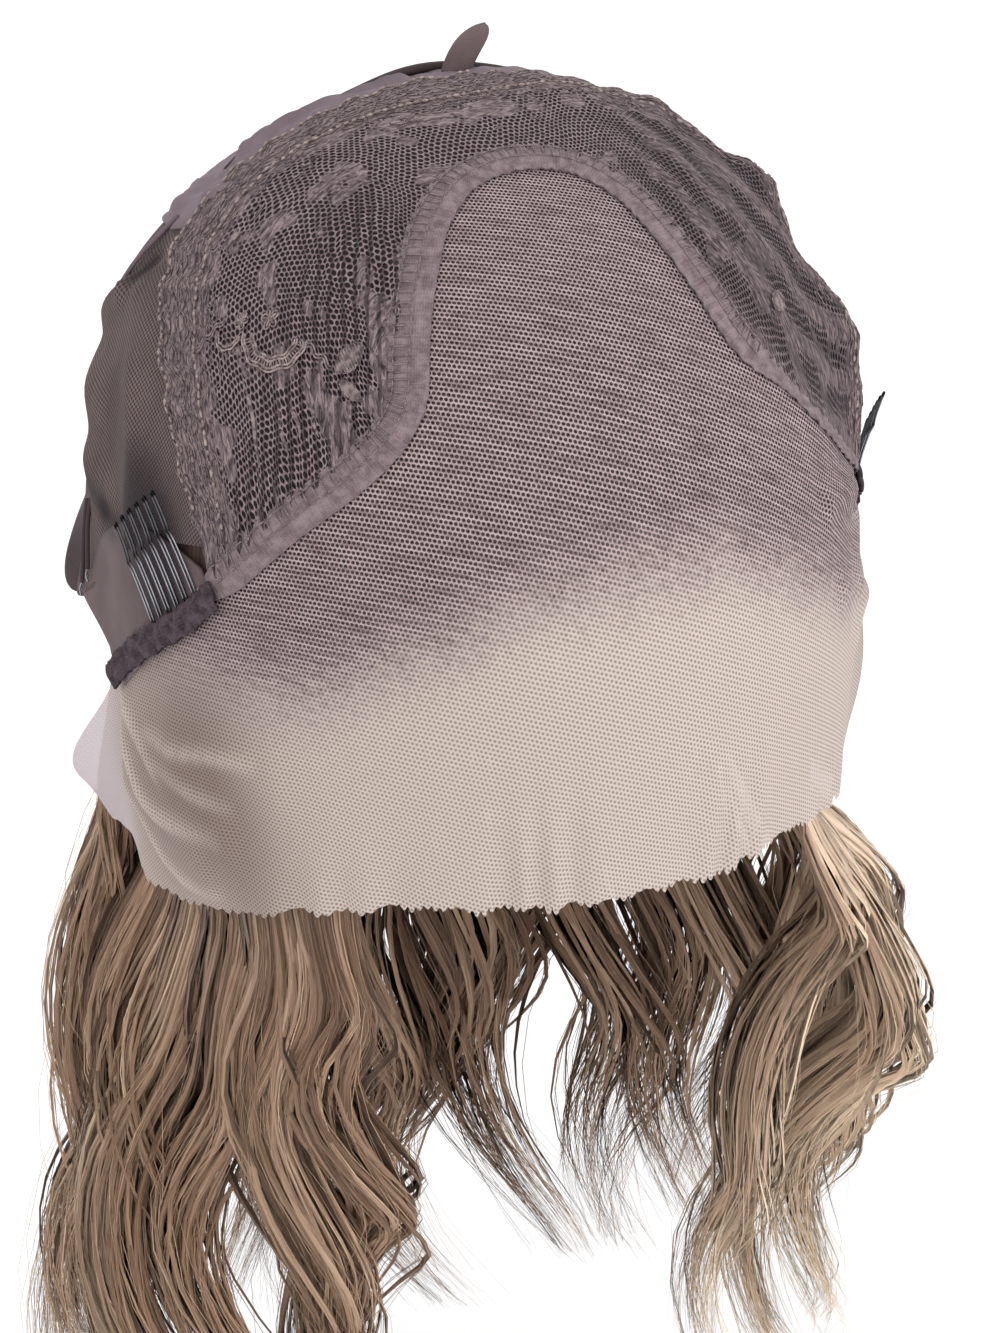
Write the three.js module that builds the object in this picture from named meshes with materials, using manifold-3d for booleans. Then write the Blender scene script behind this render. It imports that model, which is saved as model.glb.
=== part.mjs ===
// A lace-front wig turned inside out: the sewn cap shows its inner face, and the hair hangs below its rim.
// Millimetres, +Z up, the wearer's face towards -Y and the wearer's left towards +X.
// The origin is the top of the head hollow, under the crown.
import * as THREE from 'three';
import { mergeVertices } from 'three/addons/utils/BufferGeometryUtils.js';
import Module from 'manifold-3d';

// Cap size: half axes of the cloth's outer face, and how the cloth departs from a plain ellipsoid
const CAP_HALF_WIDTH = 79;
const CAP_HALF_LENGTH = 97;
const CAP_HALF_HEIGHT = 108;
const CROWN_FULLNESS = 5;
const RIM_DRAW_IN = 0.3;
const GIRTH_POLAR = 90;
const MM_PER_DEGREE = 1.6;

// Cloth and hair thicknesses, and the clearances between them
const CLOTH = 1.2;
const TAPE = 1.0;
const GAP = 0.35;
const SEAM_CLEARANCE = 0.5;
const HAIR_CLEARANCE = 0.7;
const HAIR_LAYER = 4;
const HAIR_LIFT = -(CLOTH + HAIR_CLEARANCE);
const HOLLOW_TOP = CAP_HALF_HEIGHT + HAIR_LIFT - HAIR_LAYER;

// Seam tape and comb sizes
const SEAM_TAPE_WIDTH = 7.6;
const COMB_TAPE_WIDTH = 5.4;
const COMB_WIRE = 1.0;
const COMB_WIRE_SIDES = 4;
const COMB_TEETH = 6;
const COMB_LEG_SHARE = 0.3;
const COMB_LEG_REACH = [0, 0.45, 0.93];
const STRAP_WIDTH = 13;
const STRAP_ROUND_SHARE = 0.2;
const CROWN_TAB_WIDTH = 8;
const CROWN_TAB_HEIGHT = 9;
const CROWN_TAB_NARROWING = 0.75;

// Hair locks
const LOCK_SIDES = 5;
const LOCK_STEPS = 10;
const LOCK_ROOT_INSET = 9;
const LOCK_CAP_LIFT = HAIR_LIFT - 4;
const LOCK_CAP_THICKNESS = 5;
const LOCK_FREE_THICKNESS = 15;
const LOCK_TIP_SHARE = 0.14;
const LOCK_TAPER_START = 0.6;
const LOCK_ROOT_THINNING = 0.5;
const LOCK_ROOT_SHARE = 0.12;
const LOCK_FLARE_TURN = 0.7 * Math.PI;
const LOCK_FALLS = [0.15, 0.3, 0.45, 0.6, 0.75, 0.88, 1];
const LOCK_CLEAR_OF_RIM = 3;
const LOCK_WAVES = 1.15;
const LOCK_DEPTH_WAVE = 0.5;
const LOCK_OUTWARD_SHARE = 0.35;

// Places on the cap are given on a flat map centred on the crown, in degrees from it:
// p towards the wearer's left (+X), q towards the face.
// Ribs run from the middle to the +X end and are mirrored.
const LACE_RIBS = [
  { p: 0, q: 13, toP: 0, toQ: 102.5 },
  { p: 8, q: 15, toP: 12, toQ: 102 },
  { p: 14, q: 20.5, toP: 23, toQ: 100.5 },
  { p: 17.5, q: 27, toP: 33, toQ: 97.5 },
  { p: 21.5, q: 34.5, toP: 42.5, toQ: 94 },
  { p: 25.5, q: 39.5, toP: 52, toQ: 89.5 },
  { p: 33, q: 42, toP: 62, toQ: 84.5 },
  { p: 43.5, q: 42, toP: 75, toQ: 76.5 },
  { p: 55.5, q: 38.5, toP: 88.5, toQ: 65.5 },
  { p: 66.5, q: 32, toP: 102, toQ: 51.5 },
  { p: 80.5, q: 21, toP: 116.5, toQ: 31 },
  { p: 92, q: 7, toP: 125.5, toQ: 6 },
  { p: 96, q: -10, toP: 124, toQ: -22 },
];
const STRETCH_LACE_RIBS = [
  { p: 0, q: 13, toP: 0, toQ: -10 },
  { p: 8, q: 15, toP: 10, toQ: -10.5 },
  { p: 14, q: 20.5, toP: 20, toQ: -11 },
  { p: 17.5, q: 27, toP: 31, toQ: -10.5 },
  { p: 21.5, q: 34.5, toP: 42, toQ: -7 },
  { p: 25.5, q: 39.5, toP: 49, toQ: -1.5 },
  { p: 33, q: 42, toP: 54, toQ: 6 },
  { p: 43.5, q: 42, toP: 58, toQ: 14 },
  { p: 55.5, q: 38.5, toP: 61.5, toQ: 22.5 },
  { p: 66.5, q: 32, toP: 64, toQ: 29 },
];
const CROWN_SATIN_RIBS = [
  { p: 0, q: -10, toP: 0, toQ: -60 },
  { p: 10, q: -10.5, toP: 14, toQ: -57 },
  { p: 20, q: -11, toP: 27, toQ: -49 },
  { p: 31, q: -10.5, toP: 38, toQ: -36 },
  { p: 40, q: -7.8, toP: 46, toQ: -20 },
  { p: 45.8, q: -4.3, toP: 48.8, toQ: -7.6 },
];
const BACK_RIBS = [
  { p: 0, q: -60, toP: 0, toQ: -116 },
  { p: 14, q: -57, toP: 27, toQ: -111 },
  { p: 27, q: -49, toP: 52, toQ: -95 },
  { p: 38, q: -36, toP: 71, toQ: -70 },
  { p: 46, q: -20, toP: 80, toQ: -47 },
  { p: 49.2, q: -8, toP: 83.5, toQ: -35 },
  { p: 52.2, q: 2.2, toP: 85.5, toQ: -26 },
  { p: 58, q: 14, toP: 87.5, toQ: -17 },
  { p: 61.8, q: 22.3, toP: 88.5, toQ: -10.5 },
  { p: 64.2, q: 27, toP: 89.2, toQ: -5 },
];
const EAR_TAB_RIBS = [
  { p: 66.2, q: 31, toP: 65.2, toQ: 27.2 },
  { p: 79.8, q: 20.2, toP: 78, toQ: 11 },
  { p: 91.2, q: 6.4, toP: 90, toQ: -4.4 },
];
const SEAM_TAPE_ROWS = 12;

// Soft fullness of the cloth, in millimetres of lift: rounded puffs, and folds along a line on the map
const PUFFS = [
  { p: 50, q: 6, height: 4.5, reach: 13 },
  { p: 33, q: -3, height: 3, reach: 9 },
  { p: 62, q: 24, height: 2, reach: 9 },
  { p: 17, q: -4, height: 2, reach: 8 },
  { p: -53, q: -16, height: 2.5, reach: 14 },
  { p: -40, q: 18, height: 1.5, reach: 11 },
  { p: -112, q: -14, height: 7, reach: 15 },
  { p: 112, q: -14, height: 5, reach: 15 },
];
const LACE_FOLDS = [
  { p: -97, q: 12, toP: -92, toQ: 46, height: 2.2, reach: 5 },
  { p: -104, q: 10, toP: -101, toQ: 40, height: 2.5, reach: 5 },
  { p: -88, q: 30, toP: -76, toQ: 55, height: 1.6, reach: 5 },
  { p: 80, q: 36, toP: 74, toQ: 48, height: 1.8, reach: 5 },
];

// Combs: the base runs along the seam behind the ear, and the teeth point back.
// Left and right are the wearer's.
const COMB_BASE = { p: 64.9, q: 27.8, toP: 80.3, toQ: 15.7 };
const COMB_TIPS = { p: 63.9, q: 11.5, toP: 75, toQ: -1.2 };
const COMB_SIDES = [
  { name: 'right', side: -1, tipLift: 1.4 },
  { name: 'left', side: 1, tipLift: 6 },
];

// Adjusting straps behind the ears, with their free lower ends
const STRAP_RUN = [
  { p: 60, q: -35, lift: 0 },
  { p: 70, q: -32.5, lift: 0 },
  { p: 80, q: -31, lift: 1 },
  { p: 90, q: -30, lift: 2 },
];
const STRAP_STAND_OFF = { right: 3, left: 1 };
const CROWN_TAB_PLACE = { p: 7, q: -18, leanQ: -4 };

// The hair's edge under the cap, by bearing from the face, and the edge of the cloth that covers it
const HAIR_EDGE = [
  { bearing: 0, polar: 66, cover: 103 },
  { bearing: 18, polar: 67.5, cover: 103 },
  { bearing: 38, polar: 76, cover: 106 },
  { bearing: 50, polar: 84, cover: 109 },
  { bearing: 62, polar: 92, cover: 114 },
  { bearing: 80, polar: 98, cover: 123 },
  { bearing: 95, polar: 95, cover: 126 },
  { bearing: 104, polar: 92, cover: 127 },
  { bearing: 112, polar: 93, cover: 96 },
  { bearing: 130, polar: 100, cover: 102 },
  { bearing: 155, polar: 112, cover: 113 },
  { bearing: 180, polar: 118, cover: 117 },
];

// One row for each lock of hair: bearing from the face (+ towards +X), greatest width, height of its tip,
// how far it stands out below the rim, and its sideways wave
const LOCKS = [
  { bearing: -51, width: 18, tip: -226, flare: -5, wave: 8, phase: 0.4 },
  { bearing: -60, width: 24, tip: -274, flare: 9, wave: 9, phase: 1.2 },
  { bearing: -70, width: 27, tip: -304, flare: 18, wave: 10, phase: 2.4 },
  { bearing: -81, width: 28, tip: -322, flare: 24, wave: 10, phase: 3.3 },
  { bearing: -92, width: 29, tip: -330, flare: 27, wave: 10, phase: 4.6 },
  { bearing: -104, width: 28, tip: -316, flare: 25, wave: 10, phase: 5.4 },
  { bearing: -116, width: 28, tip: -334, flare: 20, wave: 10, phase: 0.2 },
  { bearing: -129, width: 30, tip: -342, flare: 16, wave: 9, phase: 1.6 },
  { bearing: -143, width: 28, tip: -350, flare: 14, wave: 9, phase: 2.9 },
  { bearing: -157, width: 27, tip: -352, flare: 13, wave: 10, phase: 4.1 },
  { bearing: -171, width: 25, tip: -338, flare: 12, wave: 9, phase: 5.2 },
  { bearing: 175, width: 27, tip: -352, flare: 12, wave: 10, phase: 0.9 },
  { bearing: 161, width: 26, tip: -346, flare: 13, wave: 9, phase: 2.1 },
  { bearing: 147, width: 28, tip: -334, flare: 15, wave: 10, phase: 3.5 },
  { bearing: 133, width: 29, tip: -342, flare: 17, wave: 9, phase: 4.4 },
  { bearing: 119, width: 28, tip: -322, flare: 21, wave: 10, phase: 5.8 },
  { bearing: 106, width: 27, tip: -330, flare: 25, wave: 10, phase: 0.6 },
  { bearing: 94, width: 28, tip: -312, flare: 27, wave: 10, phase: 1.8 },
  { bearing: 83, width: 27, tip: -318, flare: 23, wave: 9, phase: 2.7 },
  { bearing: 72, width: 26, tip: -296, flare: 16, wave: 10, phase: 3.9 },
  { bearing: 61, width: 23, tip: -262, flare: 7, wave: 9, phase: 5.0 },
];

const FABRIC = { metalness: 0, roughness: 0.85 };
const MATERIALS = {
  lace: new THREE.MeshStandardMaterial({ ...FABRIC, color: '#c3b0a8' }),
  stretch_lace: new THREE.MeshStandardMaterial({ ...FABRIC, color: '#6b5b5d' }),
  seam_tape: new THREE.MeshStandardMaterial({ ...FABRIC, color: '#837478' }),
  satin: new THREE.MeshStandardMaterial({ ...FABRIC, color: '#7c6d75', roughness: 0.5 }),
  knit: new THREE.MeshStandardMaterial({ ...FABRIC, color: '#6a5b5b' }),
  comb_tape: new THREE.MeshStandardMaterial({ ...FABRIC, color: '#4f4449' }),
  comb_steel: new THREE.MeshStandardMaterial({ color: '#5b5d62', metalness: 0.9, roughness: 0.35 }),
  hair: new THREE.MeshStandardMaterial({ ...FABRIC, color: '#836859', roughness: 0.6 }),
};

const { lerp, smoothstep, degToRad, radToDeg } = THREE.MathUtils;
const wasm = await Module();
wasm.setup();

// A point on the cap from its place on the map, lifted off the cloth's outer face
function capPoint(p, q, lift = 0) {
  const polar = Math.hypot(p, q);
  const angle = degToRad(polar);
  const below = polar > GIRTH_POLAR;
  const out = below ? 1 - RIM_DRAW_IN * (1 - Math.sin(angle)) : Math.sin(angle);
  const rise = lift + (below ? 0 : CROWN_FULLNESS * Math.sin(2 * angle) ** 2);
  const sideways = polar > 0 ? p / polar : 0;
  const forwards = polar > 0 ? q / polar : 1;
  return new THREE.Vector3(
    (CAP_HALF_WIDTH + rise) * out * sideways,
    -(CAP_HALF_LENGTH + rise) * out * forwards,
    (CAP_HALF_HEIGHT + rise) * Math.cos(angle) - HOLLOW_TOP,
  );
}

function bearingPoint(bearing, polar, lift) {
  const turn = degToRad(bearing);
  return capPoint(polar * Math.sin(turn), polar * Math.cos(turn), lift);
}

function puffLift(p, q) {
  return PUFFS.reduce((sum, puff) => {
    const away = Math.hypot(p - puff.p, q - puff.q) / puff.reach;
    return sum + puff.height * Math.exp(-away * away);
  }, 0);
}

function laceLift(p, q) {
  const place = new THREE.Vector3(p, q, 0);
  const near = new THREE.Vector3();
  return LACE_FOLDS.reduce((sum, fold) => {
    const [start, end] = [new THREE.Vector3(fold.p, fold.q, 0), new THREE.Vector3(fold.toP, fold.toQ, 0)];
    const line = new THREE.Line3(start, end);
    line.closestPointToPoint(place, true, near);
    const away = near.distanceTo(place) / fold.reach;
    return sum + fold.height * Math.exp(-away * away);
  }, puffLift(p, q));
}

function facingOut(geometry) {
  const position = geometry.attributes.position;
  const corners = geometry.index.array;
  const [a, b, c] = [new THREE.Vector3(), new THREE.Vector3(), new THREE.Vector3()];
  const kept = [];
  let volume = 0;
  for (let i = 0; i < corners.length; i += 3) {
    const [ia, ib, ic] = corners.slice(i, i + 3);
    if (ia === ib || ib === ic || ic === ia) continue;
    kept.push([ia, ib, ic]);
    a.fromBufferAttribute(position, ia);
    b.fromBufferAttribute(position, ib);
    c.fromBufferAttribute(position, ic);
    volume += a.dot(b.cross(c));
  }
  geometry.setIndex(kept.flatMap(([ia, ib, ic]) => (volume < 0 ? [ia, ic, ib] : [ia, ib, ic])));
  geometry.clearGroups();
  return geometry;
}

// Bends a plain closed geometry into its place: each vertex goes to place(x, y, z)
function reshaped(geometry, place) {
  geometry.deleteAttribute('normal');
  geometry.deleteAttribute('uv');
  const bent = mergeVertices(geometry);
  const position = bent.attributes.position;
  for (let i = 0; i < position.count; i += 1) {
    const point = place(position.getX(i), position.getY(i), position.getZ(i));
    position.setXYZ(i, point.x, point.y, point.z);
  }
  return facingOut(bent);
}

function solid(geometry) {
  const vertProperties = new Float32Array(geometry.attributes.position.array);
  const triVerts = new Uint32Array(geometry.index.array);
  return new wasm.Manifold(new wasm.Mesh({ numProp: 3, vertProperties, triVerts }));
}

function fused(geometries) {
  const whole = geometries.map(solid).reduce((body, piece) => body.add(piece));
  const mesh = whole.getMesh();
  const geometry = new THREE.BufferGeometry();
  geometry.setAttribute('position', new THREE.BufferAttribute(mesh.vertProperties, 3));
  geometry.setIndex(new THREE.BufferAttribute(mesh.triVerts, 1));
  return geometry;
}

function mapCurve(places) {
  return new THREE.SplineCurve(places.map(({ p, q }) => new THREE.Vector2(p, q)));
}

function mirrored(places) {
  const otherSide = places.slice(1).reverse().map(({ p, q }) => ({ p: -p, q }));
  return [...otherSide, ...places];
}

const ends = (ribs) => ribs.map(({ toP, toQ }) => ({ p: toP, q: toQ }));

// A cloth panel between two curves on the map, held back from both by the seam clearance
function panel(from, to, { along, across, lift = puffLift }) {
  const place = (x, y, z) => {
    const start = from.getPoint(x + 0.5);
    const end = to.getPoint(x + 0.5);
    const inset = SEAM_CLEARANCE / (start.distanceTo(end) * MM_PER_DEGREE);
    const spot = start.lerp(end, lerp(inset, 1 - inset, y + 0.5));
    return capPoint(spot.x, spot.y, lift(spot.x, spot.y) + (z - 0.5) * CLOTH);
  };
  return reshaped(new THREE.BoxGeometry(1, 1, 1, along, across, 1), place);
}

function wholePanel(ribs, options) {
  return panel(mapCurve(mirrored(ribs)), mapCurve(mirrored(ends(ribs))), options);
}

// A flat strip along a curve on the map, its underside at the given lift above the cloth
function strip(curve, { along, across, width, thickness, lift }) {
  const place = (x, y, z) => {
    const share = x + 0.5;
    const spot = curve.getPoint(share);
    const run = curve.getTangent(share);
    const aside = (y * width(share)) / MM_PER_DEGREE;
    const p = spot.x - run.y * aside;
    const q = spot.y + run.x * aside;
    return capPoint(p, q, lift(share, p, q) + (z + 0.5) * thickness);
  };
  return reshaped(new THREE.BoxGeometry(1, 1, 1, along, across, 1), place);
}

function seamTape() {
  const seam = mapCurve(mirrored(LACE_RIBS.slice(0, SEAM_TAPE_ROWS)));
  return strip(seam, {
    along: 42,
    across: 1,
    width: () => SEAM_TAPE_WIDTH,
    thickness: TAPE,
    lift: (share, p, q) => laceLift(p, q) + GAP,
  });
}

function sided({ p, q, toP, toQ }, side) {
  return [{ p: side * p, q }, { p: side * toP, q: toQ }];
}

function earTab(side) {
  const flipped = (places) => mapCurve(places.map(({ p, q }) => ({ p: side * p, q })));
  return panel(flipped(EAR_TAB_RIBS), flipped(ends(EAR_TAB_RIBS)), { along: 6, across: 2 });
}

function combTape(side) {
  return strip(mapCurve(sided(COMB_BASE, side)), {
    along: 6,
    across: 1,
    width: () => COMB_TAPE_WIDTH,
    thickness: TAPE,
    lift: (share, p, q) => laceLift(p, q) + TAPE + 2 * GAP,
  });
}

function wire(points, steps) {
  const path = new THREE.CatmullRomCurve3(points);
  const round = new THREE.EllipseCurve(0, 0, COMB_WIRE / 2, COMB_WIRE / 2);
  const section = new THREE.Shape(round.getPoints(COMB_WIRE_SIDES).slice(0, COMB_WIRE_SIDES));
  const tube = new THREE.ExtrudeGeometry(section, { steps, extrudePath: path, bevelEnabled: false });
  return reshaped(tube, (x, y, z) => new THREE.Vector3(x, y, z));
}

// A steel comb of doubled wire teeth, each a long loop that starts and ends in the spine
function comb({ side, tipLift }) {
  const [base, tips] = [COMB_BASE, COMB_TIPS].map((line) => mapCurve(sided(line, side)));
  const toothPoint = (along, reach) => {
    const spot = base.getPoint(along).lerp(tips.getPoint(along), reach);
    const lift = puffLift(spot.x, spot.y) + GAP + COMB_WIRE / 2 + tipLift * reach * reach;
    return capPoint(spot.x, spot.y, lift);
  };
  const spine = wire([0, 0.25, 0.5, 0.75, 1].map((along) => toothPoint(along, 0)), 6);
  const pitch = 1 / COMB_TEETH;
  const teeth = Array.from({ length: COMB_TEETH }, (_, index) => {
    const middle = (index + 0.5) * pitch;
    const leg = COMB_LEG_SHARE * pitch;
    const rise = COMB_LEG_REACH.map((reach) => toothPoint(middle - leg, reach));
    const fall = COMB_LEG_REACH.map((reach) => toothPoint(middle + leg, reach)).reverse();
    return wire([...rise, toothPoint(middle, 1), ...fall], 6);
  });
  return fused([spine, ...teeth]);
}

function strap(side, standOff) {
  const run = mapCurve(STRAP_RUN.map(({ p, q }) => ({ p: side * p, q })));
  const rise = new THREE.SplineCurve(STRAP_RUN.map(({ lift }, row) => new THREE.Vector2(row, lift)));
  const straight = 1 - 0.9 * STRAP_ROUND_SHARE;
  const roundEnd = (share) => Math.sqrt(1 - (Math.max(0, share - straight) / STRAP_ROUND_SHARE) ** 2);
  return strip(run, {
    along: 10,
    across: 2,
    width: (share) => STRAP_WIDTH * roundEnd(share),
    thickness: CLOTH,
    lift: (share, p, q) => puffLift(p, q) + GAP + standOff * rise.getPoint(share).y,
  });
}

function crownTab() {
  const place = (x, y, z) => {
    const height = y + 0.5;
    const narrowing = Math.sqrt(1 - CROWN_TAB_NARROWING * height ** 4);
    const p = CROWN_TAB_PLACE.p + (x * CROWN_TAB_WIDTH * narrowing) / MM_PER_DEGREE;
    const q = CROWN_TAB_PLACE.q + CROWN_TAB_PLACE.leanQ * height ** 2 + (z * CLOTH) / MM_PER_DEGREE;
    return capPoint(p, q, puffLift(p, q) + GAP + CROWN_TAB_HEIGHT * height);
  };
  return reshaped(new THREE.BoxGeometry(1, 1, 1, 3, 4, 1), place);
}

function hairEdge(bearing, column) {
  const turn = Math.abs(bearing);
  const next = Math.max(1, HAIR_EDGE.findIndex((row) => row.bearing >= turn));
  const [low, high] = [HAIR_EDGE[next - 1], HAIR_EDGE[next]];
  return lerp(low[column], high[column], (turn - low.bearing) / (high.bearing - low.bearing));
}

// The hair that lies flat under the cap: a dome from the crown to the hair's edge
function hairDome() {
  const rings = 7;
  const sectors = 28;
  const outer = Array.from({ length: rings + 1 }, (_, ring) => new THREE.Vector2(ring / rings, 1));
  const inner = Array.from({ length: rings + 1 }, (_, ring) => new THREE.Vector2(1 - ring / rings, 0));
  return reshaped(new THREE.LatheGeometry([...outer, ...inner], sectors), (x, y, z) => {
    const bearing = radToDeg(Math.atan2(x, z));
    const polar = Math.hypot(x, z) * hairEdge(bearing, 'polar');
    return bearingPoint(bearing, polar, HAIR_LIFT - (1 - y) * HAIR_LAYER);
  });
}

// One lock: it starts in the dome, runs down inside the cloth, then swings free in a wave to its tip
function hairLock({ bearing, width, tip, flare, wave, phase }) {
  const turn = degToRad(bearing);
  const outward = new THREE.Vector3(Math.sin(turn) / CAP_HALF_WIDTH, -Math.cos(turn) / CAP_HALF_LENGTH, 0);
  outward.normalize();
  const aside = new THREE.Vector3(-outward.y, outward.x, 0);
  const root = hairEdge(bearing, 'polar') - LOCK_ROOT_INSET;
  const leave = Math.max(hairEdge(bearing, 'cover'), hairEdge(bearing, 'polar')) + LOCK_CLEAR_OF_RIM;
  const underCap = [0, 0.5, 1].map((share) => bearingPoint(bearing, lerp(root, leave, share), LOCK_CAP_LIFT));
  underCap[0].copy(bearingPoint(bearing, root, HAIR_LIFT - HAIR_LAYER / 2));
  const free = LOCK_FALLS.map((fall) => {
    const rim = underCap[2];
    const turnOfWave = phase + fall * LOCK_WAVES * 2 * Math.PI;
    const swing = wave * Math.sqrt(fall);
    const point = new THREE.Vector3(rim.x, rim.y, lerp(rim.z, tip, fall));
    point.addScaledVector(outward, flare * Math.sin(fall * LOCK_FLARE_TURN));
    point.addScaledVector(outward, LOCK_DEPTH_WAVE * swing * Math.cos(turnOfWave));
    return point.addScaledVector(aside, swing * Math.sin(turnOfWave));
  });
  const path = new THREE.CatmullRomCurve3([...underCap, ...free]);
  const capShare = underCap.length / (underCap.length + free.length);
  return reshaped(new THREE.CylinderGeometry(1, 1, 1, LOCK_SIDES, LOCK_STEPS), (x, y, z) => {
    const share = 0.5 - y;
    const swell = smoothstep(share, capShare, 2 * capShare);
    const taper = lerp(1, LOCK_TIP_SHARE, smoothstep(share, LOCK_TAPER_START, 1));
    const rooted = LOCK_CAP_THICKNESS * lerp(LOCK_ROOT_THINNING, 1, Math.min(1, share / LOCK_ROOT_SHARE));
    const thickness = lerp(rooted, LOCK_FREE_THICKNESS, swell);
    const point = path.getPoint(share);
    point.addScaledVector(aside, (x * width * taper) / 2);
    const rootDepth = swell * (LOCK_FREE_THICKNESS - LOCK_CAP_THICKNESS) * LOCK_OUTWARD_SHARE;
    return point.addScaledVector(outward, (z * thickness * taper) / 2 + rootDepth);
  });
}

function hair() {
  return fused([hairDome(), ...LOCKS.map(hairLock)]);
}

const wig = new THREE.Group();

function place(name, geometry, material) {
  const mesh = new THREE.Mesh(geometry, MATERIALS[material]);
  mesh.name = name;
  wig.add(mesh);
}

place('lace_front', wholePanel(LACE_RIBS, { along: 36, across: 10, lift: laceLift }), 'lace');
place('stretch_lace', wholePanel(STRETCH_LACE_RIBS, { along: 32, across: 6 }), 'stretch_lace');
place('crown_satin', wholePanel(CROWN_SATIN_RIBS, { along: 20, across: 5 }), 'satin');
place('back_panel', wholePanel(BACK_RIBS, { along: 30, across: 7 }), 'knit');
place('seam_tape', seamTape(), 'seam_tape');
place('crown_tab', crownTab(), 'satin');
for (const wing of COMB_SIDES) {
  place(`ear_tab_${wing.name}`, earTab(wing.side), 'satin');
  place(`comb_tape_${wing.name}`, combTape(wing.side), 'comb_tape');
  place(`comb_${wing.name}`, comb(wing), 'comb_steel');
  place(`strap_${wing.name}`, strap(wing.side, STRAP_STAND_OFF[wing.name]), 'satin');
}
place('hair', hair(), 'hair');

export default wig;
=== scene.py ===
import math

import bmesh
import bpy
import numpy as np
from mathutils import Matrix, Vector


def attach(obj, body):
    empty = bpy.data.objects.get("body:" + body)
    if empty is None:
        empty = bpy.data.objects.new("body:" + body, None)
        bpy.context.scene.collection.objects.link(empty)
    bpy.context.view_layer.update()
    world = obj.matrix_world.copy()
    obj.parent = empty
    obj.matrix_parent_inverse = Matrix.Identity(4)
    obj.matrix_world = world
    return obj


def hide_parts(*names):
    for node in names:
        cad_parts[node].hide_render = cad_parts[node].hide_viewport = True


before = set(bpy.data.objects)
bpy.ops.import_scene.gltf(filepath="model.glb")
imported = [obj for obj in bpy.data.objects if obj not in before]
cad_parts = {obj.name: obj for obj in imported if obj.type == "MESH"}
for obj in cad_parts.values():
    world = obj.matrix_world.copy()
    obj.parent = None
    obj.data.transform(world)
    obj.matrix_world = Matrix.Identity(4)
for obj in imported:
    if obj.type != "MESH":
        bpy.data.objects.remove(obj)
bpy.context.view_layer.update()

# A lace-front wig turned inside out: the sewn cap shows its inner face and the hair hangs below the rim.
# Lengths are millimetres unless a name says otherwise, and every piece is made in metres by MM.
MM = 0.001
dice = np.random.default_rng(7)

# The cap's outer face and the cloth on it
CAP_HALF_WIDTH = 79.0
CAP_HALF_LENGTH = 97.0
CAP_HALF_HEIGHT = 108.0
CROWN_FULLNESS = 5.0
RIM_DRAW_IN = 0.3
GIRTH_POLAR = 90.0
MM_PER_DEGREE = 1.6
HOLLOW_TOP = 102.1
CAP_CENTRE = np.array([0.0, 0.0, -HOLLOW_TOP * MM])

# Places on the cap are degrees from the crown on a flat map: p towards +X, q towards the face.
# Columns: p, q at the inner seam, then p, q at the far edge. Rows run from the middle to the +X end.
LACE_RIBS = [
    (0, 13, 0, 102.5),
    (8, 15, 12, 102),
    (14, 20.5, 23, 100.5),
    (17.5, 27, 33, 97.5),
    (21.5, 34.5, 42.5, 94),
    (25.5, 39.5, 52, 89.5),
    (33, 42, 62, 84.5),
    (43.5, 42, 75, 76.5),
    (55.5, 38.5, 88.5, 65.5),
    (66.5, 32, 102, 51.5),
    (80.5, 21, 114, 31),
    (92, 7, 120, 6),
    (93, 2, 115, -24),
]
STRETCH_LACE_RIBS = [
    (0, 13, 0, -10),
    (8, 15, 10, -10.5),
    (14, 20.5, 20, -11),
    (17.5, 27, 31, -10.5),
    (21.5, 34.5, 42, -7),
    (25.5, 39.5, 49, -1.5),
    (33, 42, 54, 6),
    (43.5, 42, 58, 14),
    (55.5, 38.5, 61.5, 22.5),
    (66.5, 32, 64, 29),
]
CROWN_SATIN_RIBS = [
    (0, -7, 0, -60),
    (10, -7.5, 14, -57),
    (20, -8, 27, -49),
    (31, -7.5, 36, -37.5),
    (36.5, -6, 41, -22.5),
    (40, -4, 42.5, -12),
]
BACK_RIBS = [
    (0, -58, 0, -116),
    (13.5, -55, 27, -111),
    (26, -47, 52, -95),
    (34.5, -35.5, 71, -70),
    (39.5, -20.5, 80, -47),
    (41, -10, 83.5, -35),
    (44, 0, 85.5, -26),
    (52.5, 12.5, 87.5, -17),
    (59.5, 24, 87, -13.5),
    (63, 29.5, 85.5, -9),
]
EAR_TAB_RIBS = [
    (66.5, 32, 66, 29),
    (73.5, 27, 69.5, 16.5),
    (80.5, 21, 74.5, 3),
    (86.5, 14, 80.5, -7.5),
    (92, 7, 87, -14),
]
SEAM_ROWS = 12

# Soft fullness of the cloth. Columns: p, q, height, reach in degrees.
PUFFS = [
    (46, 6, 3.2, 16),
    (33, -6, 2.6, 6),
    (44.5, 5, 3.6, 4.5),
    (56, 21, 6, 6.5),
    (61, 29, 2.8, 6),
    (17, -4, 2, 8),
    (-53, -16, 2.5, 14),
    (-40, 18, 1.5, 11),
    (-101, -19, 14, 10.5),
    (112, -14, 5, 15),
    (95, 32, 5, 12),
]
# Where the cloth is pulled aside, as it was sewn. Columns: p, q, pull along p and along q, reach in degrees.
DRAWS = [
    (-22, 33, -3.5, 0, 14),
    (0, 13, 0, 2, 14),
    (-50, 40, 0, -2.3, 18),
]
# Where the crown lies flatter than the round cap. Columns: p, q, depth, reach in degrees.
SAGS = [
    (-24, -32, 6, 20),
    (-9, -27, 3, 11),
    (14, -20, 2, 14),
]
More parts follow.
